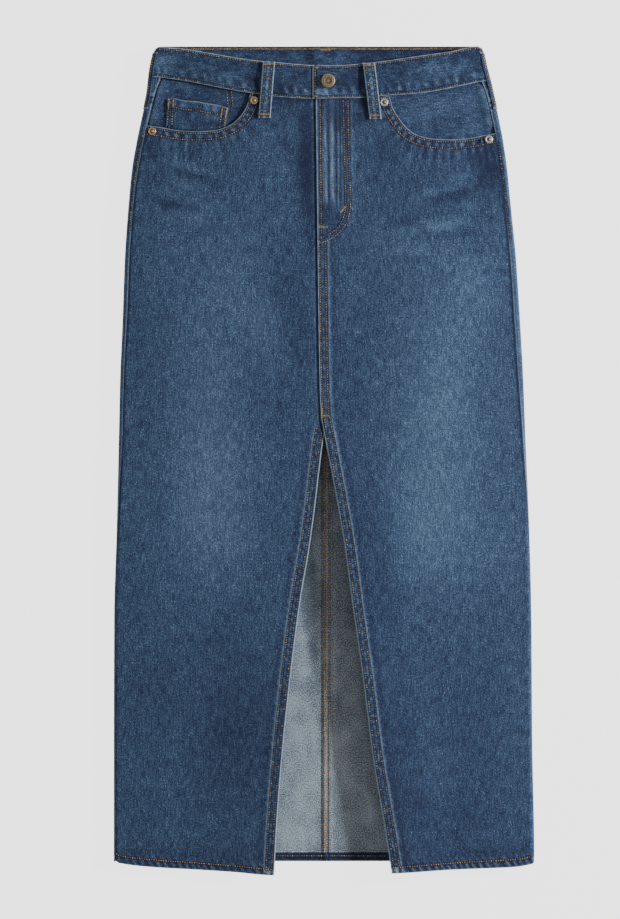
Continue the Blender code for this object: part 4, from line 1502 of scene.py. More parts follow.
@dataclass
class Waistband:
    """The waistband: one strip all round, its right end lapped over its left end."""

    wall: float = 2.1
    lift: float = 0.6
    lap: float = 1.3
    lap_fade: Point = (26.0, 42.0)
    end: float = -14.0
    underlap: float = 24.0
    underlap_step: float = 2.4
    end_dip: float = 0.45
    end_dip_reach: float = 6.0
    fit: float = 0.3
    settle_reach: float = 9.0
    top_row: float = 2.6
    bottom_row: float = 2.3
    end_row: float = 3.4
    step: float = 1.9
    back_step: float = 4.2
    fold_steps: int = 12
    front_reach: dict[Side, float] = by_side(-172.0, 160.0)
    back_reach: dict[Side, float] = by_side(-174.0, 158.0)
    back_join: float = 2.0
    fold_x: float = 190.0

    def stations(self, y: Array) -> tuple[Array, Array]:
        """The side and the girth of every column at its own y.

        Args:
            y: The y of the places.

        Returns:
            The sides and the girths, with a last axis of the columns.
        """
        quarters = {side: FORM.quarter_turn(side, y) for side in Side}
        sides, girths, at = [], [], 0
        for kind, side, values in self.runs():
            here = slice(at, at + len(values))
            at += len(values)
            part, quarter = y[..., here], quarters[side][..., here]
            if kind == Stretch.OVER:
                girth = FORM.front_girth(side, values + 0.0 * part, part)
            elif kind == Stretch.UNDER:
                girth = FORM.back_girth(side, values + 0.0 * part, part)
            elif kind == Stretch.BESIDE:
                girth = quarter + values
            else:
                girth = quarter * values
            girths.append(girth)
            sides.append(np.full(girth.shape, int(side)))
        return np.concatenate(sides, axis=-1), np.concatenate(girths, axis=-1)

    def runs(self) -> list[tuple[Stretch, Side, Array]]:
        """The stretches round the band: how each is measured, from which side, and its columns.

        Returns:
            The stretches, from the lapped end round to the underlap.
        """
        start = self.end + np.array(EDGE_STEPS)
        right = spread((self.end + 2.4, 1.2), (4.0, self.step), (self.front_reach[Side.RIGHT], 1.0))
        left = spread(
            (self.front_reach[Side.LEFT], self.step), (self.end - 6.0, 0.9),
            (self.end - self.underlap_step, 0.42), (self.end - self.fit, 2.5), (self.underlap - 1.6, 1.0),
        )
        turn = np.linspace(1.0, -1.0, self.fold_steps + 1)
        step, join = self.back_step, self.back_join
        back_right = spread((self.back_reach[Side.RIGHT], step), (join, 1.0))
        back_left = spread((join - step, step), (self.back_reach[Side.LEFT], 1.0))
        beside = spread((15.0, 1.8), (1.8, 1.0))
        end = self.underlap - np.array(EDGE_STEPS[-2::-1])
        return [
            (Stretch.OVER, Side.RIGHT, np.concatenate([start, right])),
            (Stretch.BESIDE, Side.RIGHT, beside),
            (Stretch.FOLD, Side.RIGHT, turn),
            (Stretch.UNDER, Side.RIGHT, back_right),
            (Stretch.UNDER, Side.LEFT, back_left),
            (Stretch.FOLD, Side.LEFT, turn[::-1]),
            (Stretch.BESIDE, Side.LEFT, beside[::-1]),
            (Stretch.OVER, Side.LEFT, np.concatenate([left, end])),
        ]

    def band_lift(self, side: Array, girth: Array, x: Array) -> Array:
        """The band stands over the front; its lapped end rides up and its underlap drops beneath it.

        Args:
            side: The side that they are measured from.
            girth: Their distance round from its fold.
            x: Where each place is across the skirt.

        Returns:
            The lift at each place.
        """
        behind = self.lift * ramp(girth, -self.settle_reach, 0.0)
        over = self.lift + self.lap * (1.0 - ramp(x, *self.lap_fade))
        over = over - self.end_dip * (1.0 - ramp(x, self.end, self.end + self.end_dip_reach))
        below = self.lift - self.lap * ramp(x, self.end - self.underlap_step, self.end - self.fit)
        return np.where(girth <= 0.0, behind, np.where(side == Side.RIGHT, over, below))

    def grid(self) -> ClothGrid:
        """The band's rows and columns, with all its relief.

        Returns:
            The grid.
        """
        count = sum(len(values) for _, _, values in self.runs())

        def edge(column: int) -> Callable[[Array], Array]:
            """The rule of the top edge (column 0) or of the bottom seam (column 1)."""
            return lambda y: FORM.band_edge(*self.stations(y), y, column)

        top = settle(edge(0), np.full((1, count), 480.0))
        bottom = settle(edge(1), np.full((1, count), 440.0))
        depth = np.concatenate([EDGE_STEPS, spread((2.6, 0.9), (4.4, 1.5), (16.5, 1.0))])[:, None]
        foot = np.concatenate([EDGE_STEPS, spread((2.3, 0.9), (5.0, 1.5), (16.5, 1.0))])[::-1, None]
        y = np.concatenate([top - depth, mix(top - depth[-1], bottom + foot[0], 0.5), bottom + foot])
        side, girth = self.stations(y)
        x = FORM.x_at(side, girth, y)
        down, up = top - y, y - bottom
        front = ramp(girth, -4.0, 2.0)
        along = np.where(girth > 0.0, x, 2.0 * side * self.fold_x - x)
        relief = Relief.flat(x, WASH.base - 0.02 - 0.20 * ramp(x, 20.0, 60.0) - 0.11 * (girth < 0.0))
        WASH.apply(relief, x, y, 0.6)
        top_wear = 0.95 - 0.6 * (girth < 0.0)
        relief.add(bump(down, 0.6, 0.95) * (0.75 + 0.25 * rope(along, 17.0, 131)) * top_wear, scuff=1.0)
        relief.add(bump(up, 0.6, 0.8) * (0.75 + 0.25 * rope(along, 13.0, 137)), lift=0.22, scuff=1.1)
        patches = bump(up, 8.6, 4.2) * front
        waves = rope(along + 0.2 * up, 11.0, 139) * (0.75 + 0.45 * SoftNoise(257)(along / 4.2, up / 3.4))
        relief.roped(patches, waves, 0.26, 0.50, 0.46)
        relief.add(bump(up, 4.0, 2.0) * rope(along, 6.5, 149), lift=0.12, tone=0.22)
        relief.add(bump(down, 6.0, 4.0) * rope(along, 9.0, 151), lift=0.08, tone=0.14)
        relief.add(bump(down, 7.0, 5.0), tone=-0.10)
        noise = SoftNoise(157)
        relief.add(noise(along / 15.0, y / 9.0), tone=0.24)
        relief.add(noise(along / 5.0, y / 4.0 + 7.0), tone=0.20)
        relief.stitched(down - self.top_row)
        relief.stitched(up - self.bottom_row)
        over, below = (side == Side.RIGHT) & (girth > 0.0), (side == Side.LEFT) & (girth > 0.0)
        from_end = np.where(over, x - self.end, FAR_OFF)
        to_end = np.where(below, self.underlap - x, FAR_OFF)
        before_end = np.where(below, self.end - x, FAR_OFF)
        # Painted light on the underlap left of the lapped end, against the shadow that the end casts
        relief.add(bump(before_end, 1.0, 1.6), tone=0.45)
        relief.add(bump(from_end, 0.7, 1.1), scuff=0.9)
        relief.add(bump(from_end, 7.0, 3.5), tone=0.06)
        relief.stitched(from_end - self.end_row)
        lift = self.band_lift(side, girth, x) + relief.lift * ramp(girth, -10.0, 0.0)
        edges = (down, up, from_end, to_end)
        return ClothGrid(side, girth, y, lift, self.wall, relief, True, edges, cut_across=True)

    def build(self, fabric: "FabricLook") -> Piece:
        """Makes the waistband."""
        return sew_in("waistband", self.grid(), fabric)


@dataclass
class PocketFacing:
    """The denim that shows inside a pocket scoop."""

    side: Side
    lift: float = -2.0
    wall: float = 1.0
    tuck: float = 6.0
    fit: float = 0.3
    lower_edge: dict[Side, Table] = by_side(
        Table((-72, 408), (-86, 398), (-98, 385), (-115, 374), (-149, 369), (-212, 377)),
        Table((63, 406), (76, 395), (88, 380), (106, 366), (150, 359), (205, 368)),
    )
    inner_end: dict[Side, float] = by_side(-72.0, 63.0)

    def grid(self) -> ClothGrid:
        """The facing's rows and columns.

        Returns:
            The grid.
        """
        parts = np.linspace(0.0, 1.0, 60)[None, :]

        def girths(y: Array) -> Array:
            """The girth of every column at its own y."""
            start = FORM.seam_girth(self.side, y) + self.fit
            return mix(start, FORM.front_girth(self.side, self.inner_end[self.side], y), parts)

        def x_at(y: Array) -> Array:
            """The x of every column at its own y."""
            return FORM.x_at(self.side, girths(y), y)

        first = np.full(parts.shape, 400.0)
        top = settle(lambda y: FORM.front_waist(x_at(y), 1) + self.tuck, first)
        bottom = settle(lambda y: self.lower_edge[self.side](x_at(y)), first)
        y = mix(top, bottom, np.linspace(0.0, 1.0, 30)[:, None])
        girth, x = girths(y), x_at(y)
        is_left = self.side == Side.LEFT
        relief = Relief.flat(x, WASH.base + (-0.20 if is_left else -0.07))
        WASH.apply(relief, x, y, 0.0)
        waist = FORM.front_waist(x, 1) - y
        # Painted shade along the facing's top, under the waistband
        relief.add(fade(waist, 5.0), tone=-0.2)
        ripple = SoftNoise(151 + self.side)
        relief.add(ripple(x / 26.0, y / 7.0), lift=0.20, tone=0.12)
        relief.add(ripple(x / 7.0, y / 4.0 + 3.0), tone=0.08)
        to_edge = y - FORM.scoops[self.side](x)
        # Painted shadow along the scoop's edge, which the facing lies beneath
        relief.add(fade(to_edge, 4.0), tone=-0.2)
        relief.add(fade(to_edge, 11.0) * rope(x, 9.0, 227), lift=0.14, tone=0.22)
        from_seam = girth - FORM.seam_girth(self.side, y)
        relief.add(bump(from_seam, 4.0, 3.0), tone=0.12, scuff=0.08)
        relief.add(bump(self.side * x, 187.0, 12.0) * bump(y, 426.0, 12.0), tone=0.16)
        at_seam = (1.0 - ramp(from_seam, 3.0, 14.0)) * ramp(to_edge, 3.0, 9.0) * ramp(waist, 1.0, 5.0)
        relief.add(at_seam, lift=1.4)
        lift = self.lift + relief.lift
        return ClothGrid(self.side, girth, y, lift, self.wall, relief, cut_across=True)

    def build(self, fabric: "FabricLook") -> Piece:
        """Makes the facing."""
        return sew_in(f"pocket_facing_{self.side.word}", self.grid(), fabric)


@dataclass
class CoinPocket:
    """The small pocket on the left facing, stitched down at both sides, open at its top."""

    sides: Point = (-183.5, -112.0)
    lean: Point = (-2.0, -4.0)
    clear: float = 0.8
    lift: float = -0.6
    wall: float = 1.0
    hem_row: float = 10.6
    top_edge: Table = Table(
        (-184, 423.4), (-176, 424), (-164, 421.4), (-150, 420.4), (-139, 418.4), (-126, 416.2),
        (-110, 411.6),
    )
    column_rows: tuple[float, ...] = (1.6, 6.9)

    def grid(self) -> ClothGrid:
        """The pocket's rows and columns, with all its relief.

        Returns:
            The grid.
        """
        width = self.sides[1] - self.sides[0]
        edge = np.array(EDGE_STEPS) / width
        parts = np.concatenate([edge, np.linspace(0.035, 0.965, 44), 1.0 - edge[::-1]])[None, :]
        top_x = mix(*self.sides, parts)
        foot_x = top_x + mix(*self.lean, parts)
        top = self.top_edge(top_x)
        foot = FORM.scoops[Side.LEFT](foot_x) + self.clear
        height = top - foot
        down = np.concatenate([EDGE_STEPS, spread((2.4, 1.1), (14.0, 1.0))])[:, None] + 0.0 * top
        rest = mix(14.0, height, np.linspace(0.0, 1.0, 12)[1:, None])
        down = np.concatenate([down, rest])
        t = down / height
        x, y = mix(top_x, foot_x, t), mix(top, foot, t)
        from_left, from_right = parts * width + 0.0 * y, (1.0 - parts) * width + 0.0 * y
        relief = Relief.flat(x, WASH.base - 0.04)
        WASH.apply(relief, x, y, 0.0)
        ripple = SoftNoise(199)
        relief.add(ripple(x / 9.0, y / 5.0), lift=0.12, tone=0.28)
        relief.add(bump(down, 0.5, 0.8), scuff=0.62)
        relief.add(bump(down, 5.5, 4.0), tone=0.05)
        relief.add(bump(down, self.hem_row + 3.0, 3.0), tone=-0.12)
        relief.stitched(down - self.hem_row)
        waves = rope(x, 11.0, 163)
        relief.add(bump(down, 5.5, 3.5) * waves, lift=0.18, tone=0.32, scuff=0.08)
        for inset in (from_left, from_right):
            relief.add(bump(inset, 0.6, 0.9), scuff=0.62)
            for row in self.column_rows:
                relief.stitched(inset - row)
            relief.add(bump(inset, 4.2, 1.8) * rope(y, 7.0, 167), lift=0.16, tone=0.40)
        relief.add(fade(height - down, 4.0), tone=-0.15)
        girth = FORM.front_girth(Side.LEFT, x, y)
        turned = down < self.hem_row + 1.5
        edges = (down, from_left, from_right)
        return ClothGrid(Side.LEFT, girth, y, self.lift + relief.lift, self.wall, relief, turned, edges)

    def build(self, fabric: "FabricLook") -> Piece:
        """Makes the coin pocket."""
        return sew_in("coin_pocket", self.grid(), fabric)


@dataclass
class BeltLoop:
    """A belt loop, folded to thirds and arched a little over the band."""

    name: str
    side: Side
    top: float
    middle: Callable[[Array, Array], Array]
    width: float = 14.5
    drop: float = 66.0
    wall: float = 1.8
    columns: Point = (3.6, 10.9)
    tone: float = 0.2
    worn: float = 0.95
    rows: Thread = Thread.GREY
    tacks: Thread = Thread.ORANGE
    arch: Table = Table((0, 1), (10, 1.7), (22, 2.1), (33, 1.9), (42, 1.3), (52, 0.7), (60, 0.4), (66, 0.4))
    seed: int = 173

    def grid(self) -> ClothGrid:
        """The loop's rows and columns, with all its relief.

        Returns:
            The grid.
        """
        edge = np.array(EDGE_STEPS[:-1])
        width, drop = self.width, self.drop
        across = np.concatenate([edge, spread((1.5, 0.72), (width - 1.5, 1.0)), width - edge[::-1]])
        down = np.concatenate([edge, spread((1.5, 1.1), (drop - 1.5, 1.0)), drop - edge[::-1]])
        across, down = across[None, :] + 0.0 * down[:, None], down[:, None] + 0.0 * across[None, :]
        y = self.top - down
        girth = self.middle(y, down / self.drop) + self.width / 2.0 - across
        inset = np.minimum(across, self.width - across)
        ends = np.minimum(down, self.drop - down)
        relief = Relief.flat(y, WASH.base + self.tone)
        frayed = 0.7 + 0.3 * rope(down, 7.0, self.seed)
        relief.add(bump(inset, 0.5, 0.8) * frayed, scuff=self.worn, tone=0.1)
        relief.add(bump(across, self.width / 2.0, 1.9), lift=-0.12, tone=0.12)
        relief.add(SoftNoise(self.seed)(across / 2.2, down / 3.0), tone=0.16)
        waves = rope(down + 0.3 * across, 5.2, self.seed)
        relief.roped(bump(across, self.width / 2.0, 1.8), waves, 0.14, 0.40, 0.3)
        relief.add(bump(ends, 0.7, 1.0), scuff=0.7)
        relief.add(bump(ends, 4.0, 2.4), lift=-0.3, tone=-0.35)
        for row in self.columns:
            relief.stitched(across - row, 1.3)
        lift = self.arch(down) + self.wall + relief.lift
        edges = (across, self.width - across, down, self.drop - down)
        return ClothGrid(self.side, girth, y, lift, self.wall, relief, True, edges)

    def build(self, fabric: "FabricLook") -> Piece:
        """Makes the loop."""
        return sew_in(self.name, self.grid(), fabric)


# ---- Seams: where the stitches run ----


@dataclass
class Seam:
    """A row of stitches along places on a piece of cloth.

    Fields: the piece, the places, the thread, whether it lies on the inner face, and whether it is a
    bartack, whose stitches lie across the row.
    """

    piece: str
    side: Array | int
    girth: Array
    y: Array
    thread: Thread
    inside: bool = False
    bartack: bool = False

    @classmethod
    def on_front(cls, piece: str, side: Side, x: Array, y: Array, thread: Thread, **facts: bool) -> "Seam":
        """A seam over the front, given by x and y."""
        return cls(piece, side, FORM.front_girth(side, x, y), y, thread, **facts)

    def guide(self, tree: BVHTree) -> tuple[Array, Array]:
        """Drops the row onto the finished piece.

        Args:
            tree: The piece's faces, in metres.

        Returns:
            The points in metres and the way out of the cloth at each.
        """
        far, near = (-5.5, 1.0) if self.inside else (4.0, -4.0)
        starts = FORM.place(self.side, self.girth, self.y, far) * MM
        ends = FORM.place(self.side, self.girth, self.y, near) * MM
        points, ups = [], []
        for start, end in zip(starts.reshape(-1, 3), ends.reshape(-1, 3)):
            direction = Vector(end - start)
            hit, _, _, distance = tree.ray_cast(Vector(start), direction.normalized(), direction.length)
            if hit is None:
                continue
            points.append(tuple(hit))
            ups.append(tuple(-direction.normalized()))
        return np.array(points).reshape(-1, 3), np.array(ups).reshape(-1, 3)


def line_between(start: Point, end: Point, count: int = 12) -> tuple[Array, Array]:
    """The x and y of places on a straight line."""
    t = np.linspace(0.0, 1.0, count)
    return mix(start[0], end[0], t), mix(start[1], end[1], t)


@dataclass
class SeamPlan:
    """All the stitch rows of the skirt."""

    step: float = 2.0
    tack: float = 10.0
    hem_end: float = 243.5
    scoop_end: float = 206.0
    fly_head: float = 421.0
    slit_foot: float = -482.0
    yoke_end: float = -185.0
    # The heights of the two tacks at the band's lapped end
    band_tacks: Point = (459.3, 426.0)
    # Short rows and tacks, each from x, y to x, y
    facing_rows: tuple[tuple[Point, Point], ...] = (
        ((-114.0, 431.0), (-112.5, 414.5)), ((-108.7, 431.0), (-107.0, 414.5)),
    )
    buttonhole: tuple[Point, Point] = ((13.4, 443.0), (21.0, 443.2))
    inner_tack: tuple[Point, Point] = ((-3.0, 481.4), (8.0, 481.4))
    fly_tacks: tuple[tuple[Point, Point], ...] = (
        ((25.4, 297.8), (18.7, 289.7)), ((-6.6, 273.1), (3.5, 272.6)),
        ((-3.0, 60.0), (-3.0, 48.5)), ((-1.8, 51.9), (5.0, 51.9)),
    )

    def down(self, top: float, bottom: float) -> Array:
        """Places from top to bottom, a step apart."""
        return np.linspace(top, bottom, max(2, round(abs(top - bottom) / self.step)))

    def front(self, side: Side) -> list[Seam]:
        """The rows of a front panel: hem, slit and scoop.

        Args:
            side: The panel's side.

        Returns:
            The seams.
        """
        piece = f"front_panel_{side.word}_cloth"
        seams = []
        for inside in (False, True):
            inner = FORM.centre_edge(side, FORM.front_hem(70.0 * side)) + side * 1.5
            x = self.down(side * self.hem_end, inner)
            y = FORM.front_hem(x) + FRONT_HEM.row_at(x)
            seams.append(Seam.on_front(piece, side, x, y, Thread.ORANGE, inside=inside))
        for row in PLACKET.slit_rows:
            y = self.down(PLACKET.slit_top + (9.0 if side == Side.RIGHT else -1.0), self.slit_foot)
            edge = FORM.centre_edge(side, y)
            slope = np.gradient(edge, y)
            x = edge + side * row * np.sqrt(1.0 + slope**2)
            keep = y > FORM.front_hem(x) + 1.0
            seams.append(Seam.on_front(piece, side, x[keep], y[keep], Thread.GREY))
        corner = FORM.scoop_corner[side]
        x = mix(corner, side * self.scoop_end, np.linspace(0.0, 1.0, 90) ** 1.4)
        line = np.stack([x, FORM.scoops[side](x)], axis=1)
        along = np.gradient(line, axis=0)
        out = np.stack([along[:, 1], -along[:, 0]], axis=1) * side
        out = out / np.hypot(out[:, 0], out[:, 1])[:, None]
        for row in SCOOP_HEM.rows:
            path = line + out * row
            waist = FORM.front_waist(path[:, 0], 1) - 0.5
            inner = FORM.seam_girth(side, path[:, 1]) + 1.0
            girth = FORM.front_girth(side, path[:, 0], path[:, 1])
            keep = (path[:, 1] < waist) & (girth > inner)
            seams.append(Seam.on_front(piece, side, path[keep, 0], path[keep, 1], Thread.TAN))
        return seams

    def fly(self) -> list[Seam]:
        """The fly, the centre seam, and the tacks that hold them.

        Returns:
            The seams.
        """
        piece = "front_panel_right_cloth"
        seams = []
        y = self.down(self.fly_head, PLACKET.fly_foot)
        x = FORM.centre_front(y, 1) + PLACKET.fly_row
        seams.append(Seam.on_front(piece, Side.RIGHT, x, y, Thread.TAN))
        for row in (PLACKET.fly_inner, PLACKET.fly_outer):
            line = smooth_line(row, self.step)
            line = line[line[:, 1] < self.fly_head + 0.5]
            seams.append(Seam.on_front(piece, Side.RIGHT, line[:, 0], line[:, 1], Thread.TAN))
        for row in PLACKET.seam_rows:
            y = self.down(PLACKET.seam_top - 2.0, PLACKET.slit_top + 11.0)
            x = FORM.centre_front(y, 1) + row
            seams.append(Seam.on_front(piece, Side.RIGHT, x, y, Thread.TAN))
        for start, end in self.fly_tacks:
            x, y = line_between(start, end)
            seams.append(Seam.on_front(piece, Side.RIGHT, x, y, Thread.TAN, bartack=True))
        return seams

    def back(self, side: Side) -> list[Seam]:
        """The rows of a back panel: side seam, hem, yoke and centre back.

        Args:
            side: The panel's side.

        Returns:
            The seams.
        """
        panel = BackPiece(side, False)
        piece = f"back_panel_{side.word}_cloth"
        seams = []
        y = self.down(panel.seam_row_top[side], panel.seam_row_foot[side])
        seams.append(Seam(piece, side, FORM.seam_girth(side, y) - panel.seam_row, y, Thread.GREY))
        reach = abs(FORM.back_girth(side, FORM.centre_back, -465.0))
        for inside in (False, True):
            girth = self.down(-1.0, -reach + 1.0)
            y = np.full(girth.shape, FORM.back_hem + BACK_HEM.row)
            seams.append(Seam(piece, side, girth, y, Thread.TAN if inside else Thread.ORANGE, inside=inside))
        for row in panel.yoke_rows:
            girth = self.down(4.0, self.yoke_end)
            y = np.full(girth.shape, 400.0)
            y = settle(lambda at: FORM.yoke_edge(side, girth, at) - row, y)
            centre = FORM.back_girth(side, FORM.centre_back, y) + 1.0
            keep = (girth > centre) & (girth < FORM.seam_girth(side, y) - 1.0)
            seams.append(Seam(piece, side, girth[keep], y[keep], Thread.TAN))
        if side == Side.RIGHT:
            for row in panel.centre_rows:
                for inside in (False, True):
                    foot = BACK_HEM.depth + 0.8 if inside else 1.0
                    y = self.down(FORM.yoke_centre - 12.0, FORM.back_hem + foot)
                    girth = FORM.back_girth(side, FORM.centre_back + row, y)
                    thread = Thread.CHAIN if inside else Thread.TAN
                    seams.append(Seam(piece, side, girth, y, thread, inside=inside))
        return seams

    def waistband(self, band: Waistband) -> list[Seam]:
        """The band's top, bottom and end rows, its buttonhole and the tack inside the back.

        Args:
            band: The waistband.

        Returns:
            The seams.
        """
        piece = "waistband_cloth"
        seams = []
        count = sum(len(values) for _, _, values in band.runs())
        for column, offset in ((0, -band.top_row), (1, band.bottom_row)):
            y = np.full((1, count), 460.0)
            y = settle(lambda at: FORM.band_edge(*band.stations(at), at, column), y)
            y = (y + offset)[0]
            side, girth = band.stations(y)
            x = FORM.x_at(side, girth, y)
            shows = ~((side == Side.LEFT) & (girth > 0.0) & (x > band.end - 1.0))
            shows &= ~((side == Side.RIGHT) & (girth > 0.0) & (x < band.end + 2.4))
            thread = Thread.TAN if column == 0 else Thread.GREY
            seams.append(Seam(piece, side[shows], girth[shows], y[shows], thread))
            behind = shows & (girth < -2.0)
            at = side[behind], girth[behind], y[behind]
            for lower in (0.0, 0.9) if column == 0 else ():
                seams.append(Seam(piece, *at[:2], at[2] - lower, Thread.TAN, inside=True))
        x = band.end + band.end_row
        y = self.down(FORM.front_waist(x, 0) - 3.2, FORM.front_waist(x, 1) + 3.0)
        seams.append(Seam.on_front(piece, Side.RIGHT, np.full(y.shape, x), y, Thread.ORANGE))
        for height in self.band_tacks:
            tack_x, tack_y = line_between((x - 1.8, height), (x + 3.0, height))
            seams.append(Seam.on_front(piece, Side.RIGHT, tack_x, tack_y, Thread.ORANGE, bartack=True))
        eye_x, eye_y = line_between(*self.buttonhole)
        seams.append(Seam.on_front(piece, Side.RIGHT, eye_x, eye_y, Thread.DARK, bartack=True))
        tack_x, tack_y = line_between(*self.inner_tack)
        girth = FORM.back_girth(Side.RIGHT, tack_x, tack_y)
        seams.append(Seam(piece, Side.RIGHT, girth, tack_y, Thread.TAN, inside=True, bartack=True))
        return seams

    def loop(self, loop: BeltLoop) -> list[Seam]:
        """A belt loop's two columns and its tacks.

        Args:
            loop: The loop.

        Returns:
            The seams.
        """
        piece = f"{loop.name}_cloth"
        seams = []
        for row in loop.columns:
            down = self.down(0.8, loop.drop - 0.8)
            y = loop.top - down
            girth = loop.middle(y, down / loop.drop) + loop.width / 2.0 - row
            seams.append(Seam(piece, loop.side, girth, y, loop.rows))
        for down in (3.0, loop.drop - 4.4):
            across = np.linspace(1.2, loop.width - 1.2, 10)
            y = np.full(across.shape, loop.top - down)
            girth = loop.middle(y, down / loop.drop) + loop.width / 2.0 - across
            seams.append(Seam(piece, loop.side, girth, y, loop.tacks, bartack=True))
        return seams

    def coin_pocket(self, pocket: CoinPocket) -> list[Seam]:
        """The coin pocket's hem row, its side columns and its tacks.

        Args:
            pocket: The pocket.

        Returns:
            The seams.
        """
        piece = "coin_pocket_cloth"
        seams = []

        def across(part: float, down: Array) -> tuple[Array, Array]:
            """Places at a share of the pocket's width and a distance down from its top.

            Args:
                part: The share of the width.
                down: The distance down.

            Returns:
                Their x and y.
            """
            top_x = mix(*pocket.sides, part)
            y = pocket.top_edge(top_x) - down
            foot = FORM.scoops[Side.LEFT](top_x) + pocket.clear
            t = down / (pocket.top_edge(top_x) - foot)
            return top_x + mix(*pocket.lean, part) * t, y

        parts = np.linspace(0.12, 0.88, 28)
        x, y = across(parts, np.full(parts.shape, pocket.hem_row))
        seams.append(Seam.on_front(piece, Side.LEFT, x, y, Thread.TAN))
        for start, end in self.facing_rows:
            x, y = line_between(start, end)
            seams.append(Seam.on_front("pocket_facing_left_cloth", Side.LEFT, x, y, Thread.TAN))
        width = pocket.sides[1] - pocket.sides[0]
        for row in pocket.column_rows:
            for part in (row / width, 1.0 - row / width):
                x, y = across(part, np.linspace(0.8, 30.0, 16))
                keep = y > FORM.scoops[Side.LEFT](x) + 1.5
                thread = Thread.GREY if part < 0.5 else Thread.TAN
                seams.append(Seam.on_front(piece, Side.LEFT, x[keep], y[keep], thread))
                x, y = across(part, np.linspace(1.0, 1.0 + self.tack, 8))
                keep = y > FORM.scoops[Side.LEFT](x) + 1.5
                seams.append(Seam.on_front(piece, Side.LEFT, x[keep], y[keep], Thread.TAN, bartack=True))
        return seams


# ---- Finishes ----


class Graph:
    """Adds nodes to a tree and joins them."""

    def __init__(self, tree: NodeTree) -> None:
        """Takes the tree to build in."""
        self.tree = tree

    def node(self, kind: str, inputs: Optional[dict] = None, **settings: object) -> Node:
        """Adds a node.

        Args:
            kind: The node's type.
            inputs: A value or an output to join for each input, by name or index.
            settings: Properties of the node.

        Returns:
            The node.
        """
        made = self.tree.nodes.new(kind)
        for key, value in settings.items():
            setattr(made, key, value)
        for key, value in (inputs or {}).items():
            if isinstance(value, Socket):
                self.tree.links.new(value, made.inputs[key])
            else:
                made.inputs[key].default_value = value
        return made

    def first(self, kind: str, inputs: Optional[dict] = None, **settings: object) -> Socket:
        """The first output of a node that it adds."""
        return self.node(kind, inputs, **settings).outputs[0]

    def math(self, operation: str, *values: Value) -> Socket:
        """The output of a math node."""
        return self.first("ShaderNodeMath", dict(enumerate(values)), operation=operation)

    def vector(self, parts: dict[int, Value]) -> Socket:
        """A vector, 0 along each axis that isn't given."""
        return self.first("ShaderNodeCombineXYZ", parts)

    def attribute(self, name: str) -> Socket:
        """The value of a mesh attribute."""
        return self.node("ShaderNodeAttribute", attribute_name=name).outputs["Fac"]

    def shade(self, out: Node, inputs: dict[str, Value]) -> None:
        """Joins a Principled shader with these inputs to the material's output node."""
        self.tree.links.new(self.first("ShaderNodeBsdfPrincipled", inputs), out.inputs[0])

    def add(self, *values: Value) -> Socket:
        """The sum of values.

        Args:
            values: Numbers or outputs.

        Returns:
            Their sum.
        """
        total = values[0]
        for value in values[1:]:
            total = self.math("ADD", total, value)
        return total

    def scale(self, value: Value, by: Value) -> Socket:
        """A value times another."""
        return self.math("MULTIPLY", value, by)

    def noise(self, vector: Socket, stretch: tuple[float, float, float], detail: float = 2.0) -> Socket:
        """Noise between -1 and 1 on coordinates stretched by so much.

        Args:
            vector: The coordinates.
            stretch: How many lattice steps to a metre, along each axis.
            detail: Finer layers.

        Returns:
            The noise.
        """
        moved = self.first("ShaderNodeVectorMath", {0: vector, 1: stretch}, operation="MULTIPLY")
        made = self.first("ShaderNodeTexNoise", {"Vector": moved, "Scale": 1.0, "Detail": detail})
        return self.math("MULTIPLY_ADD", made, 4.0, -2.0)

    def ramp(self, value: Socket, stops: Sequence[tuple[float, tuple]]) -> Socket:
        """A colour ramp.

        Args:
            value: Where on the ramp.
            stops: The place and the colour of each stop.

        Returns:
            The colour there.
        """
        made = self.node("ShaderNodeValToRGB", {0: value})
        elements = made.color_ramp.elements
        while len(elements) < len(stops):
            elements.new(0.5)
        for element, (at, colour) in zip(elements, stops):
            element.position = at
            element.color = (*colour, 1.0)
        return made.outputs[0]

    def blend(self, factor: Value, low: Value, high: Value) -> Socket:
        """A mix of two colours."""
        return self.node("ShaderNodeMix", {0: factor, 6: low, 7: high}, data_type="RGBA").outputs[2]


def new_group(name: str, outputs: Sequence[str]) -> tuple[Graph, Node]:
    """Makes an empty shader node group.

    Args:
        name: The group's name.
        outputs: The names of its number outputs.

    Returns:
        Its graph and its output node.
    """
    tree = bpy.data.node_groups.new(name, "ShaderNodeTree")
    for key in outputs:
        tree.interface.new_socket(key, in_out="OUTPUT", socket_type="NodeSocketFloat")
    graph = Graph(tree)
    return graph, graph.node("NodeGroupOutput")


def new_material(name: str) -> tuple[Material, Graph, Node]:
    """Makes a material with only its output node.

    Args:
        name: Its name.

    Returns:
        The material, its graph and its output node.
    """
    material = bpy.data.materials.new(name)
    material.use_nodes = True
    material.node_tree.nodes.clear()
    graph = Graph(material.node_tree)
    return material, graph, graph.node("ShaderNodeOutputMaterial")


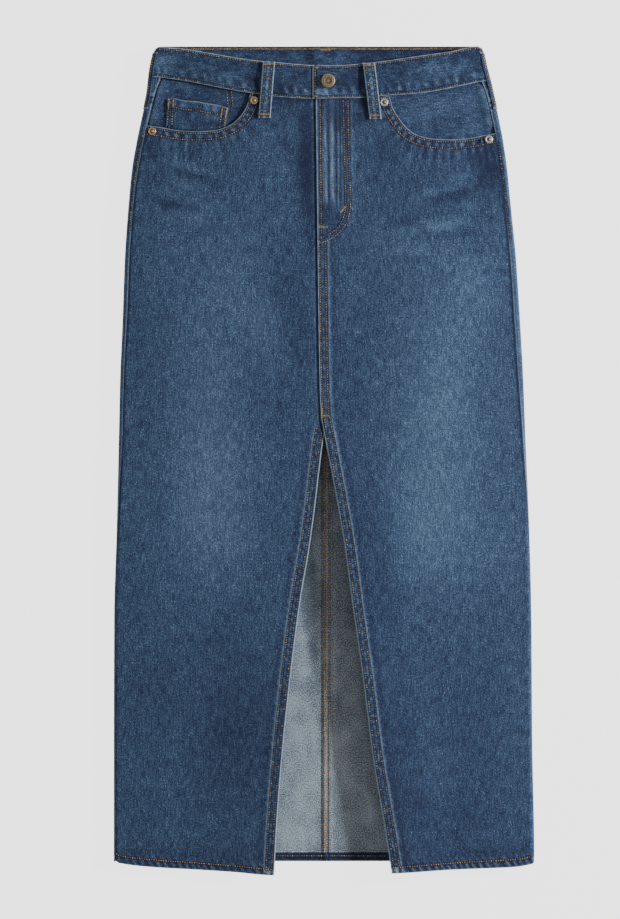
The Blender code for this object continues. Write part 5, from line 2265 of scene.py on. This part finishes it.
@dataclass(frozen=True)
class Weave:
    """The grain of the twill: how much its slubs, threads and faint wear change the tone."""

    slub: float = 0.36
    grain: float = 0.74
    cloud: float = 0.14
    fleck: float = 0.92
    fleck_floor: float = 0.22
    fleck_lean: float = 0.35
    twill: float = 0.10
    twill_pitch: float = 0.00085
    twill_rise: float = 0.62
    twill_wobble: float = 0.0004
    slub_size: Point = (0.0016, 0.012)
    grain_size: Point = (0.00078, 0.0016)
    lint_size: Point = (0.00105, 0.0014)
    cloud_size: Point = (0.008, 0.016)
    fleck_size: Point = (0.00088, 0.0038)

    def group(self) -> NodeTree:
        """The group that reads the cloth's coordinates and gives its tone and height.

        Returns:
            The tree, with outputs Change (of tone), Grain, Lint (of the pale side) and Height.
        """
        graph, out = new_group("twill", ("Change", "Grain", "Lint", "Height"))
        uv = graph.first("ShaderNodeUVMap", uv_map=UV_NAME)
        across, along, _ = graph.node("ShaderNodeSeparateXYZ", {0: uv}).outputs
        slub = self._noise(graph, uv, self.slub_size, 2.0)
        grain = self._noise(graph, uv, self.grain_size)
        cloud = self._noise(graph, uv, self.cloud_size, 2.0)
        wobble = graph.scale(cloud, self.twill_wobble)
        diagonal = graph.add(across, graph.scale(along, self.twill_rise), wobble)
        twill = graph.math("SINE", graph.scale(diagonal, 2.0 * math.pi / self.twill_pitch))
        leaning = graph.vector({0: graph.math("MULTIPLY_ADD", along, self.fleck_lean, across), 1: along})
        fleck = graph.math("SUBTRACT", self._noise(graph, leaning, self.fleck_size), self.fleck_floor)
        change = graph.add(
            graph.scale(graph.math("MAXIMUM", fleck, 0.0), self.fleck),
            graph.scale(slub, self.slub),
            graph.scale(grain, self.grain),
            graph.scale(cloud, self.cloud),
            graph.scale(twill, self.twill),
        )
        height = graph.add(twill, graph.scale(grain, 0.7), graph.scale(slub, 0.6))
        lint = self._noise(graph, uv, self.lint_size)
        for value, socket in zip((change, grain, lint, height), out.inputs):
            graph.tree.links.new(value, socket)
        return graph.tree

    def _noise(self, graph: Graph, place: Socket, size: Point, detail: float = 1.0) -> Socket:
        """Noise of so many metres across and along the cloth."""
        return graph.noise(place, (1.0 / size[0], 1.0 / size[1], 1.0), detail)


@dataclass(frozen=True)
class Fabric:
    """Washed indigo denim: its dark warp face and its pale weft inside."""

    tones: tuple[tuple[float, Colour], ...] = (
        (-0.15, (0.0140, 0.0205, 0.0520)), (0, (0.0190, 0.0295, 0.0720)),
        (0.25, (0.0295, 0.0500, 0.1060)), (0.5, (0.0405, 0.0720, 0.1400)),
        (0.75, (0.0585, 0.1045, 0.1930)), (1, (0.0880, 0.1500, 0.2580)),
        (1.45, (0.1850, 0.2800, 0.4100)),
    )
    tone_span: Point = (-0.15, 1.45)
    rub: float = 0.72
    bare: tuple[float, float, float, float] = (0.325, 0.43, 0.55, 1.0)
    weft_low: Colour = (0.085, 0.110, 0.145)
    weft_high: Colour = (0.440, 0.530, 0.610)
    roughness: float = 0.88
    sheen: float = 0.05
    sheen_roughness: float = 0.5
    shine: float = 0.16
    bump: float = 0.35
    bump_distance: float = 0.00016

    def build(self) -> "FabricLook":
        """Makes the two materials."""
        weave = Weave().group()
        return FabricLook(self._face(weave), self._inside(weave))

    def _finish(self, graph: Graph, out: Node, colour: Socket, height: Socket) -> None:
        """Joins a colour and a height to a matt cloth shader.

        Args:
            graph: The material's graph.
            out: Its output node.
            colour: The base colour.
            height: The height of the weave.
        """
        weave = {"Height": height, "Strength": self.bump, "Distance": self.bump_distance}
        graph.shade(
            out,
            {
                "Base Color": colour,
                "Roughness": self.roughness,
                "Specular IOR Level": self.shine,
                "Sheen Weight": self.sheen,
                "Sheen Roughness": self.sheen_roughness,
                "Normal": graph.first("ShaderNodeBump", weave),
            },
        )

    def _face(self, weave: NodeTree) -> Material:
        """The dark side.

        Args:
            weave: The group of the weave.

        Returns:
            The material.
        """
        material, graph, out = new_material("denim_face")
        twill = graph.node("ShaderNodeGroup", node_tree=weave)
        tone, scuff = graph.attribute("tone"), graph.attribute("scuff")
        level = graph.add(tone, twill.outputs["Change"])
        low, high = self.tone_span
        share = graph.math("MULTIPLY_ADD", level, 1.0 / (high - low), -low / (high - low))
        stops = tuple(((at - low) / (high - low), colour) for at, colour in self.tones)
        indigo = graph.ramp(share, stops)
        rubbed = graph.scale(scuff, graph.math("MULTIPLY_ADD", twill.outputs["Grain"], 0.55, 1.0))
        rubbed = graph.math("MINIMUM", graph.math("MAXIMUM", graph.scale(rubbed, self.rub), 0.0), 0.9)
        self._finish(graph, out, graph.blend(rubbed, indigo, self.bare), twill.outputs["Height"])
        return material

    def _inside(self, weave: NodeTree) -> Material:
        """The pale side.

        Args:
            weave: The group of the weave.

        Returns:
            The material.
        """
        material, graph, out = new_material("denim_inside")
        twill = graph.node("ShaderNodeGroup", node_tree=weave)
        tone = graph.attribute("tone")
        part = graph.math("MULTIPLY_ADD", twill.outputs["Lint"], 0.95, 0.33)
        part = graph.add(part, graph.scale(tone, 0.5))
        colour = graph.ramp(part, ((0.0, self.weft_low), (1.0, self.weft_high)))
        self._finish(graph, out, colour, twill.outputs["Height"])
        return material


@dataclass(frozen=True)
class FabricLook:
    """The materials of the cloth's two faces."""

    face: Material
    inside: Material


THREAD_COLOURS = {
    Thread.ORANGE: ((0.20, 0.105, 0.032), (0.43, 0.235, 0.065), (0.55, 0.400, 0.240)),
    Thread.CHAIN: ((0.34, 0.165, 0.040), (0.62, 0.310, 0.070), (0.80, 0.450, 0.120)),
    Thread.TAN: ((0.14, 0.090, 0.034), (0.35, 0.235, 0.088), (0.50, 0.390, 0.240)),
    Thread.GREY: ((0.06, 0.050, 0.036), (0.19, 0.150, 0.090), (0.46, 0.400, 0.300)),
    Thread.DARK: ((0.020, 0.022, 0.030), (0.035, 0.035, 0.038), (0.10, 0.085, 0.060)),
}


def thread_material(thread: Thread) -> Material:
    """Makes a thread's material, a little different on each stitch.

    Args:
        thread: The thread.

    Returns:
        The material.
    """
    material, graph, out = new_material(thread.value)
    colour = graph.ramp(graph.attribute("shade"), tuple(zip((0.0, 0.6, 1.0), THREAD_COLOURS[thread])))
    graph.shade(out, {"Base Color": colour, "Roughness": 0.62, "Specular IOR Level": 0.3})
    return material


@dataclass(frozen=True)
class MetalFinish:
    """A worn metal: its low and high colours and how polished it is."""

    name: str
    low: Colour
    high: Colour
    roughness: float = 0.42

    def build(self) -> Material:
        """Makes the material, darker where the mesh's polish attribute is low.

        Returns:
            The material.
        """
        material, graph, out = new_material(self.name)
        place = graph.node("ShaderNodeTexCoord").outputs["Object"]
        polish = graph.attribute("polish")
        wear = graph.noise(place, (900.0, 900.0, 900.0))
        level = graph.math("MULTIPLY_ADD", wear, 0.16, polish)
        colour = graph.ramp(level, ((0.0, self.low), (1.0, self.high)))
        rough = graph.math("MULTIPLY_ADD", wear, 0.06, self.roughness)
        graph.shade(out, {"Base Color": colour, "Metallic": 1.0, "Roughness": rough})
        return material


# ---- Stitching ----


@dataclass
class StitchStyle:
    """How a row is sewn: pitch, thread length above the cloth, thread radius and arch."""

    pitch: float
    length: float
    radius: float
    arch: float
    across: bool = False


ROW = StitchStyle(pitch=2.8, length=1.6, radius=0.57, arch=0.38)
CHAIN = StitchStyle(pitch=2.9, length=1.6, radius=0.76, arch=0.45)
TACK = StitchStyle(pitch=1.05, length=2.5, radius=0.44, arch=0.34, across=True)


class StitchTree:
    """The Geometry Nodes tree that lays stitches along guide lines."""

    NUMBERS = ("Pitch", "Length", "Radius", "Arch", "Turn")
    SIDES = 6
    STEPS = 4
    SWING = 0.09
    LENGTHS = (0.88, 1.06)

    def __init__(self) -> None:
        """Builds the tree."""
        self.tree = bpy.data.node_groups.new("stitches", "GeometryNodeTree")
        face = self.tree.interface
        face.new_socket("Guide", in_out="INPUT", socket_type="NodeSocketGeometry")
        sorts = {**dict.fromkeys(self.NUMBERS, "Float"), "Seed": "Int", "Thread": "Material"}
        self.sockets = {
            key: face.new_socket(key, in_out="INPUT", socket_type=f"NodeSocket{sort}").identifier
            for key, sort in sorts.items()
        }
        face.new_socket("Stitches", in_out="OUTPUT", socket_type="NodeSocketGeometry")
        self._lay(Graph(self.tree))

    def _stitch(self, graph: Graph, given: Node) -> Socket:
        """One stitch: an arched round thread along x, up along z.

        Args:
            graph: The graph to build in.
            given: The tree's input node.

        Returns:
            The mesh of the stitch.
        """
        half = graph.scale(given.outputs["Length"], 0.5)
        low = graph.scale(given.outputs["Radius"], -0.7)
        start = graph.vector({0: graph.scale(half, -1.0), 2: low})
        middle = graph.vector({2: graph.scale(given.outputs["Arch"], 2.0)})
        ends = {"Start": start, "Middle": middle, "End": graph.vector({0: half, 2: low})}
        arc = graph.first("GeometryNodeCurveQuadraticBezier", {"Resolution": self.STEPS, **ends})
        round_thread = {"Resolution": self.SIDES, "Radius": given.outputs["Radius"]}
        ring = graph.first("GeometryNodeCurvePrimitiveCircle", round_thread)
        along = graph.node("GeometryNodeSplineParameter").outputs["Factor"]
        from_middle = graph.math("POWER", graph.math("MULTIPLY_ADD", along, 2.0, -1.0), 2.0)
        thick = graph.math("SQRT", graph.math("MULTIPLY_ADD", from_middle, -0.8, 1.0))
        return graph.first(
            "GeometryNodeCurveToMesh",
            {"Curve": arc, "Profile Curve": ring, "Scale": thick, "Fill Caps": True},
        )

    def _random(self, graph: Graph, given: Node, low: float, high: float, shift: int) -> Socket:
        """A random number for each stitch, another for each shift of the seed."""
        seed = graph.math("ADD", given.outputs["Seed"], float(shift))
        return graph.node("FunctionNodeRandomValue", {2: low, 3: high, "Seed": seed}).outputs[1]

    def _lay(self, graph: Graph) -> None:
        """Joins the nodes from the guide to the finished stitches.

        Args:
            graph: The graph to build in.
        """
        given = graph.node("NodeGroupInput")
        curve = graph.first("GeometryNodeMeshToCurve", {"Mesh": given.outputs["Guide"]})
        points = graph.node(
            "GeometryNodeCurveToPoints", {"Curve": curve, "Length": given.outputs["Pitch"]}, mode="LENGTH"
        )
        up = graph.first("GeometryNodeInputNamedAttribute", {"Name": "up"}, data_type="FLOAT_VECTOR")
        axes = {"Primary Axis": up, "Secondary Axis": points.outputs["Tangent"]}
        facing = graph.first("FunctionNodeAxesToRotation", axes, primary_axis="Z", secondary_axis="X")
        angle = graph.add(given.outputs["Turn"], self._random(graph, given, -self.SWING, self.SWING, 1))
        turn = graph.first("FunctionNodeAxisAngleToRotation", {"Axis": (0.0, 0.0, 1.0), "Angle": angle})
        both = {"Rotation": facing, "Rotate By": turn}
        turned = graph.first("FunctionNodeRotateRotation", both, rotation_space="LOCAL")
        size = graph.vector({0: self._random(graph, given, *self.LENGTHS, 2), 1: 1.0, 2: 1.0})
        placed = graph.first(
            "GeometryNodeInstanceOnPoints",
            {
                "Points": points.outputs["Points"],
                "Instance": self._stitch(graph, given),
                "Rotation": turned,
                "Scale": size,
            },
        )
        shade = {"Geometry": placed, "Name": "shade", "Value": self._random(graph, given, 0.0, 1.0, 3)}
        shaded = graph.first(
            "GeometryNodeStoreNamedAttribute", shade, data_type="FLOAT", domain="INSTANCE"
        )
        real = graph.first("GeometryNodeRealizeInstances", {"Geometry": shaded})
        thread = {"Geometry": real, "Material": given.outputs["Thread"]}
        dressed = graph.first("GeometryNodeSetMaterial", thread)
        graph.node("NodeGroupOutput", {"Stitches": dressed})

    def grow(self, guide: Piece, style: StitchStyle, seed: int, thread: Material) -> None:
        """Turns a guide's mesh into its stitches.

        Args:
            guide: The object with the guide lines.
            style: How they are sewn.
            seed: For the small differences.
            thread: The material.
        """
        modifier = guide.modifiers.new("stitches", "NODES")
        modifier.node_group = self.tree
        turn = math.pi / 2.0 if style.across else 0.0
        numbers = (style.pitch * MM, style.length * MM, style.radius * MM, style.arch * MM, turn)
        for key, value in zip(self.NUMBERS, numbers):
            modifier[self.sockets[key]] = value
        modifier[self.sockets["Seed"]] = seed
        modifier[self.sockets["Thread"]] = thread
        depsgraph = bpy.context.evaluated_depsgraph_get()
        mesh = bpy.data.meshes.new_from_object(guide.evaluated_get(depsgraph), depsgraph=depsgraph)
        guide.modifiers.remove(modifier)
        guide.data = mesh
        mesh.shade_smooth()


@dataclass
class Sewing:
    """Sews every seam of the plan with stitches of its thread."""

    pieces: dict[str, Piece]
    seed: int = 401

    def guide(self, name: str, seams: Sequence[Seam], trees: dict[str, BVHTree]) -> Piece:
        """One object with the guide lines of several seams.

        Args:
            name: The object's name.
            seams: The seams.
            trees: The faces of each piece.

        Returns:
            The object.
        """
        points, ups, edges = [], [], []
        for seam in seams:
            line, up = seam.guide(trees[seam.piece])
            first = len(points)
            points.extend(line.tolist())
            ups.extend(up.ravel().tolist())
            edges.extend((first + i, first + i + 1) for i in range(len(line) - 1))
        mesh = bpy.data.meshes.new(name)
        mesh.from_pydata(points, edges, [])
        mesh.attributes.new("up", "FLOAT_VECTOR", "POINT").data.foreach_set("vector", ups)
        return add_piece(name, mesh, ())

    def build(self, seams: Sequence[Seam]) -> None:
        """Groups the seams by thread and style and sews each group.

        Args:
            seams: The seams.
        """
        trees = {}
        for name in sorted({seam.piece for seam in seams}):
            mesh = self.pieces[name].data
            corners = [tuple(vertex.co) for vertex in mesh.vertices]
            trees[name] = BVHTree.FromPolygons(corners, [tuple(face.vertices) for face in mesh.polygons])
        tree = StitchTree()
        groups: dict[tuple[Thread, bool], list[Seam]] = {}
        for seam in seams:
            groups.setdefault((seam.thread, seam.bartack), []).append(seam)
        for number, ((thread, bartack), group) in enumerate(groups.items()):
            name = f"{thread.value}_{'tacks' if bartack else 'rows'}"
            piece = self.guide(name, group, trees)
            material = bpy.data.materials.get(thread.value) or thread_material(thread)
            style = TACK if bartack else (CHAIN if thread == Thread.CHAIN else ROW)
            tree.grow(piece, style, self.seed + 10 * number, material)
            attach(piece, "root")
            LOG.info("%s: %d seams, %d faces", name, len(group), len(piece.data.polygons))


# ---- Metal ----


@dataclass
class Turned:
    """A small round metal part with a raised pattern, seated square on the front.

    Fields: the solid that it stands for, where it sits, how far over the cloth, its profile as radius
    and height from the middle out and back under, how polished each profile point is, and a ring of dots.
    """

    node: str
    slot: str
    centre: Point
    lift: float
    profile: tuple[Point, ...]
    polish: Table
    dots: tuple[int, float, float, float] = (0, 0.0, 1.0, 0.0)
    around: int = 96
    slope_reach: float = 3.0

    def seat(self) -> tuple[Array, Array, Array, Array]:
        """Where the part sits on the front, and its east, north and up.

        Returns:
            The place, and the three directions.
        """
        height, (x, y), reach = FORM.front_height, self.centre, self.slope_reach
        slope_x = float(height(x + reach, y) - height(x - reach, y)) / (2.0 * reach)
        slope_y = float(height(x, y + reach) - height(x, y - reach)) / (2.0 * reach)
        up = np.array([-slope_x, -slope_y, 1.0])
        up = up / np.linalg.norm(up)
        east = np.cross([0.0, 1.0, 0.0], up)
        east = east / np.linalg.norm(east)
        seat = np.array([x, y, float(height(np.array(x), np.array(y)))]) + self.lift * up
        return seat, east, np.cross(up, east), up

    def raised_dots(self, radius: Array, angle: Array) -> Array:
        """How far the dots stand up at each place.

        Args:
            radius: Distance of each place from the middle.
            angle: The angle of each place round it.

        Returns:
            The height of the dots there.
        """
        count, ring, size, tall = self.dots
        step = 2.0 * math.pi / count
        off = (angle + step / 2.0) % step - step / 2.0
        return tall * np.exp(-((np.hypot(radius - ring, off[None, :] * ring) / size) ** 2))

    def build(self, finish: Material) -> Piece:
        """Makes the part.

        Args:
            finish: Its metal.

        Returns:
            The piece.
        """
        line = smooth_line(self.profile, 0.3)
        line[:, 0] = np.maximum(line[:, 0], 0.0)
        angle = np.linspace(0.0, 2.0 * math.pi, self.around, endpoint=False)
        radius, base = line[1:, :1] + 0.0 * angle, line[1:, 1:] + 0.0 * angle
        height = base
        if self.dots[0]:
            on_top = np.arange(1, len(line)) < int(np.argmax(line[:, 0]))
            height = base + self.raised_dots(radius, angle) * on_top[:, None]
        seat, east, north, up = self.seat()
        points = (
            seat
            + (radius * np.cos(angle))[..., None] * east
            + (radius * np.sin(angle))[..., None] * north
            + height[..., None] * up
        ).reshape(-1, 3)
        points = np.vstack([points, seat + line[0, 1] * up, seat])
        rings, last = len(line) - 1, len(points) - 1
        index = np.arange(rings * self.around).reshape(rings, self.around)
        after = np.roll(index, -1, axis=1)
        quads = np.stack([index[:-1], index[1:], after[1:], after[:-1]], axis=-1).reshape(-1, 4)
        faces = quads.tolist()
        faces += [[last - 1, int(a), int(b)] for a, b in zip(index[0], after[0])]
        faces += [[last, int(b), int(a)] for a, b in zip(index[-1], after[-1])]
        mesh = bpy.data.meshes.new(self.node)
        mesh.from_pydata((points * MM).tolist(), [], faces)
        polish = self.polish(radius).ravel() + 0.9 * (height - base).ravel()
        polish = np.concatenate([polish, [self.polish(0.0), 0.0]])
        mesh.attributes.new("polish", "FLOAT", "POINT").data.foreach_set("value", polish.astype(np.float32))
        edit = bmesh.new()
        edit.from_mesh(mesh)
        bmesh.ops.remove_doubles(edit, verts=edit.verts, dist=1e-6)
        bmesh.ops.recalc_face_normals(edit, faces=edit.faces)
        edit.to_mesh(mesh)
        edit.free()
        mesh.shade_smooth()
        piece = add_piece(f"{self.node}_metal", mesh, (finish,))
        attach(piece, "root")
        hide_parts(self.node)
        LOG.info("%s: %d faces", piece.name, len(mesh.polygons))
        return piece


BUTTON_PROFILE = (
    (0, 3), (0.9, 3), (1.4, 2.86), (1.9, 2.8), (3.2, 2.8), (4.9, 2.82), (5.9, 2.84), (6.3, 2.9),
    (6.9, 2.96), (7.4, 2.86), (7.8, 2.6), (8.1, 2.1), (7.9, 1.5), (6, 1.3), (3.6, 1.2), (3.6, 0), (0.05, 0),
)
RIVET_PROFILE = (
    (0, 1.7), (0.8, 1.62), (1.3, 1.35), (1.8, 1), (2.4, 0.9), (3, 1.05), (3.6, 1.2), (4.2, 1.1),
    (4.6, 0.7), (4.6, 0.3), (4.5, 0), (0.05, 0),
)


@dataclass
class Hardware:
    """The waist button and the four rivets."""

    brass: MetalFinish = MetalFinish("antique_brass", (0.085, 0.062, 0.042), (0.66, 0.50, 0.33), 0.52)
    copper: MetalFinish = MetalFinish("rivet_brass", (0.06, 0.045, 0.03), (0.72, 0.50, 0.30))
    silver: MetalFinish = MetalFinish("rivet_nickel", (0.16, 0.10, 0.06), (0.72, 0.72, 0.74))
    button_at: Point = (4.7, 443.6)
    # Dots round the button's face: how many, on what radius, how wide, how tall
    dots: tuple[int, float, float, float] = (13, 5.0, 0.7, 0.6)
    rivets: dict[str, Point] = field(
        default_factory=lambda: {
            "rivet_left_inner": (-81.9, 421.0),
            "rivet_left_outer": (-201.5, 385.4),
            "rivet_right_inner": (70.2, 418.8),
            "rivet_right_outer": (193.0, 376.0),
        }
    )
    # How polished each is: radius, polish
    button_polish: Table = Table(
        (0, 0.65), (1.2, 0.5), (1.8, 0.08), (2.6, 0.42), (3.4, 0.08), (4.4, 0.14), (5.8, 0.16), (7.2, 0.58),
        (8.3, 0.1),
    )
    copper_polish: Table = Table((0, 0.7), (1.2, 0.55), (2.1, 0.1), (3.4, 0.95), (4.2, 0.8), (4.7, 0.4))
    silver_polish: Table = Table((0, 0.12), (1.3, 0.05), (2.1, 0.2), (3.2, 1), (4.2, 0.9), (4.7, 0.5))

    def build(self) -> None:
        """Makes all five."""
        button = (self.button_at, 2.2, BUTTON_PROFILE, self.button_polish, self.dots)
        Turned("waist_button", "antique_brass", *button).build(self.brass.build())
        left = self.copper.build(), self.copper_polish
        right = self.silver.build(), self.silver_polish
        for node, centre in self.rivets.items():
            finish, polish = left if centre[0] < 0.0 else right
            Turned(node, "rivet_copper", centre, 0.3, RIVET_PROFILE, polish, around=48).build(finish)


# ---- Studio ----


@dataclass
class Studio:
    """A pale lit table, soft light with one low lamp from the right, and a camera straight above."""

    floor_height: float = -0.7
    floor_size: float = 9000.0
    floor_white: float = 0.30
    floor_glow: float = 2.62
    camera_height: float = 4000.0
    frame_centre: Point = (-16.5, 0.8)
    frame_height: float = 1079.8
    sensor: float = 24.0
    world: float = 0.37
    world_colour: Colour = (1.06, 1.0, 0.95)
    lamp_colour: Colour = (0.97, 1.0, 1.03)
    lamp_distance: float = 4000.0
    lamp_azimuth: float = 12.0
    lamp_elevation: float = 20.0
    lamp_size: float = 460.0
    lamp_power: float = 295.0

    def build(self) -> None:
        """Makes the floor, the light and the camera."""
        self._floor()
        self._light()
        self._camera()

    def _floor(self) -> None:
        """The table, lit evenly so that the skirt casts almost no shadow on it."""
        half, z = self.floor_size / 2.0, self.floor_height
        corners = np.array([(-half, -half, z), (half, -half, z), (half, half, z), (-half, half, z)]) * MM
        mesh = bpy.data.meshes.new("floor")
        mesh.from_pydata(corners.tolist(), [], [(0, 1, 2, 3)])
        material, graph, out = new_material("pale_table")
        graph.shade(
            out,
            {
                "Base Color": (self.floor_white, self.floor_white, self.floor_white, 1.0),
                "Roughness": 1.0,
                "Specular IOR Level": 0.0,
                "Emission Color": (1.0, 1.0, 1.0, 1.0),
                "Emission Strength": self.floor_glow,
            },
        )
        add_piece("floor", mesh, (material,))

    def _light(self) -> None:
        """A soft sky and one low lamp."""
        world = bpy.data.worlds.new("soft_sky")
        world.use_nodes = True
        background = world.node_tree.nodes["Background"]
        background.inputs["Color"].default_value = (*self.world_colour, 1.0)
        background.inputs["Strength"].default_value = self.world
        bpy.context.scene.world = world
        lamp = bpy.data.lights.new("low_lamp", "AREA")
        lamp.energy = self.lamp_power
        lamp.color = self.lamp_colour
        lamp.shape = "SQUARE"
        lamp.size = self.lamp_size * MM
        azimuth, elevation = math.radians(self.lamp_azimuth), math.radians(self.lamp_elevation)
        level = math.cos(elevation)
        aim = Vector((math.cos(azimuth) * level, math.sin(azimuth) * level, math.sin(elevation)))
        source = bpy.data.objects.new("low_lamp", lamp)
        source.location = aim * self.lamp_distance * MM
        source.rotation_euler = aim.to_track_quat("Z", "Y").to_euler()
        bpy.context.scene.collection.objects.link(source)

    def _camera(self) -> None:
        """The camera looks straight down."""
        data = bpy.data.cameras.new("camera")
        data.sensor_fit = "VERTICAL"
        data.sensor_height = self.sensor
        data.lens = self.sensor * self.camera_height / self.frame_height
        data.clip_start, data.clip_end = 0.1, 50.0
        camera = bpy.data.objects.new("camera", data)
        camera.location = (self.frame_centre[0] * MM, self.frame_centre[1] * MM, self.camera_height * MM)
        bpy.context.scene.collection.objects.link(camera)
        bpy.context.scene.camera = camera


# ---- The skirt ----


@dataclass
class Skirt:
    pieces: dict[str, Piece] = field(default_factory=dict)
    # A front loop's x at its top and at its foot
    front_loops: dict[Side, Point] = by_side((-64.6, -69.9), (52.2, 60.2))
    loop_drop: float = 0.3
    side_loop_turn: float = 25.0
    side_loop_top: float = 478.0
    back_loop_top: float = 484.0

    def loops(self) -> list[BeltLoop]:
        """The five belt loops.

        Returns:
            The loops.
        """
        def front(side: Side, seed: int) -> BeltLoop:
            """Makes a loop over the front of the band.

            Args:
                side: The loop's side.
                seed: Which puckers it has.

            Returns:
                The loop.
            """
            high, low = self.front_loops[side]
            top = float(FORM.front_waist(high, 0)) - self.loop_drop
            return BeltLoop(
                f"belt_loop_front_{side.word}", side, top,
                lambda y, t: FORM.front_girth(side, mix(high, low, t), y), seed=seed,
            )

        def beside(side: Side, seed: int) -> BeltLoop:
            """Makes a narrow loop on the fold at the side, its tone darkened as painted shade.

            Args:
                side: The loop's side.
                seed: Which puckers it has.

            Returns:
                The loop.
            """
            turn = math.radians(self.side_loop_turn)
            return BeltLoop(
                f"belt_loop_side_{side.word}", side, self.side_loop_top,
                lambda y, t: turn * FORM.fold_edge(side, y)[1] + 0.0 * t,
                # The darker tone of the side loops is painted shade
                width=11.1, columns=(2.9, 8.2), arch=hugging, wall=1.2, tone=-0.22, worn=0.1,
                rows=Thread.TAN, tacks=Thread.DARK, seed=seed,
            )

        hugging = Table((0, 0.25), (22, 0.35), (36, 0.2), (44, -0.2), (66, -0.35))
        back = BeltLoop(
            "belt_loop_back", Side.RIGHT, self.back_loop_top,
            lambda y, t: FORM.back_girth(Side.RIGHT, FORM.back_loop_x, y) + 0.0 * t,
            drop=64.0, arch=Table((0, 0.2), (66, 0.2)), wall=1.7, seed=193,
        )
        left, right = Side.LEFT, Side.RIGHT
        return [front(left, 173), front(right, 179), beside(left, 181), beside(right, 191), back]

    def build(self) -> None:
        """Builds the cloth, the stitching and the metal."""
        fabric = Fabric().build()
        band = Waistband()
        pocket = CoinPocket()
        loops = self.loops()
        makers = []
        for side in Side:
            makers += [FrontPanel(side), PocketFacing(side), BackPiece(side, False), BackPiece(side, True)]
        for maker in (*makers, pocket, band, *loops):
            piece = maker.build(fabric)
            self.pieces[piece.name] = piece
        plan = SeamPlan()
        seams = [
            *plan.front(Side.LEFT), *plan.front(Side.RIGHT), *plan.fly(), *plan.back(Side.LEFT),
            *plan.back(Side.RIGHT), *plan.waistband(band), *plan.coin_pocket(pocket),
        ]
        for loop in loops:
            seams.extend(plan.loop(loop))
        Sewing(self.pieces).build(seams)
        Hardware().build()


def main() -> None:
    """Builds the scene."""
    logging.basicConfig(level=logging.INFO, format="%(name)s: %(message)s")
    Studio().build()
    Skirt().build()


if __name__ == "__main__":
    main()
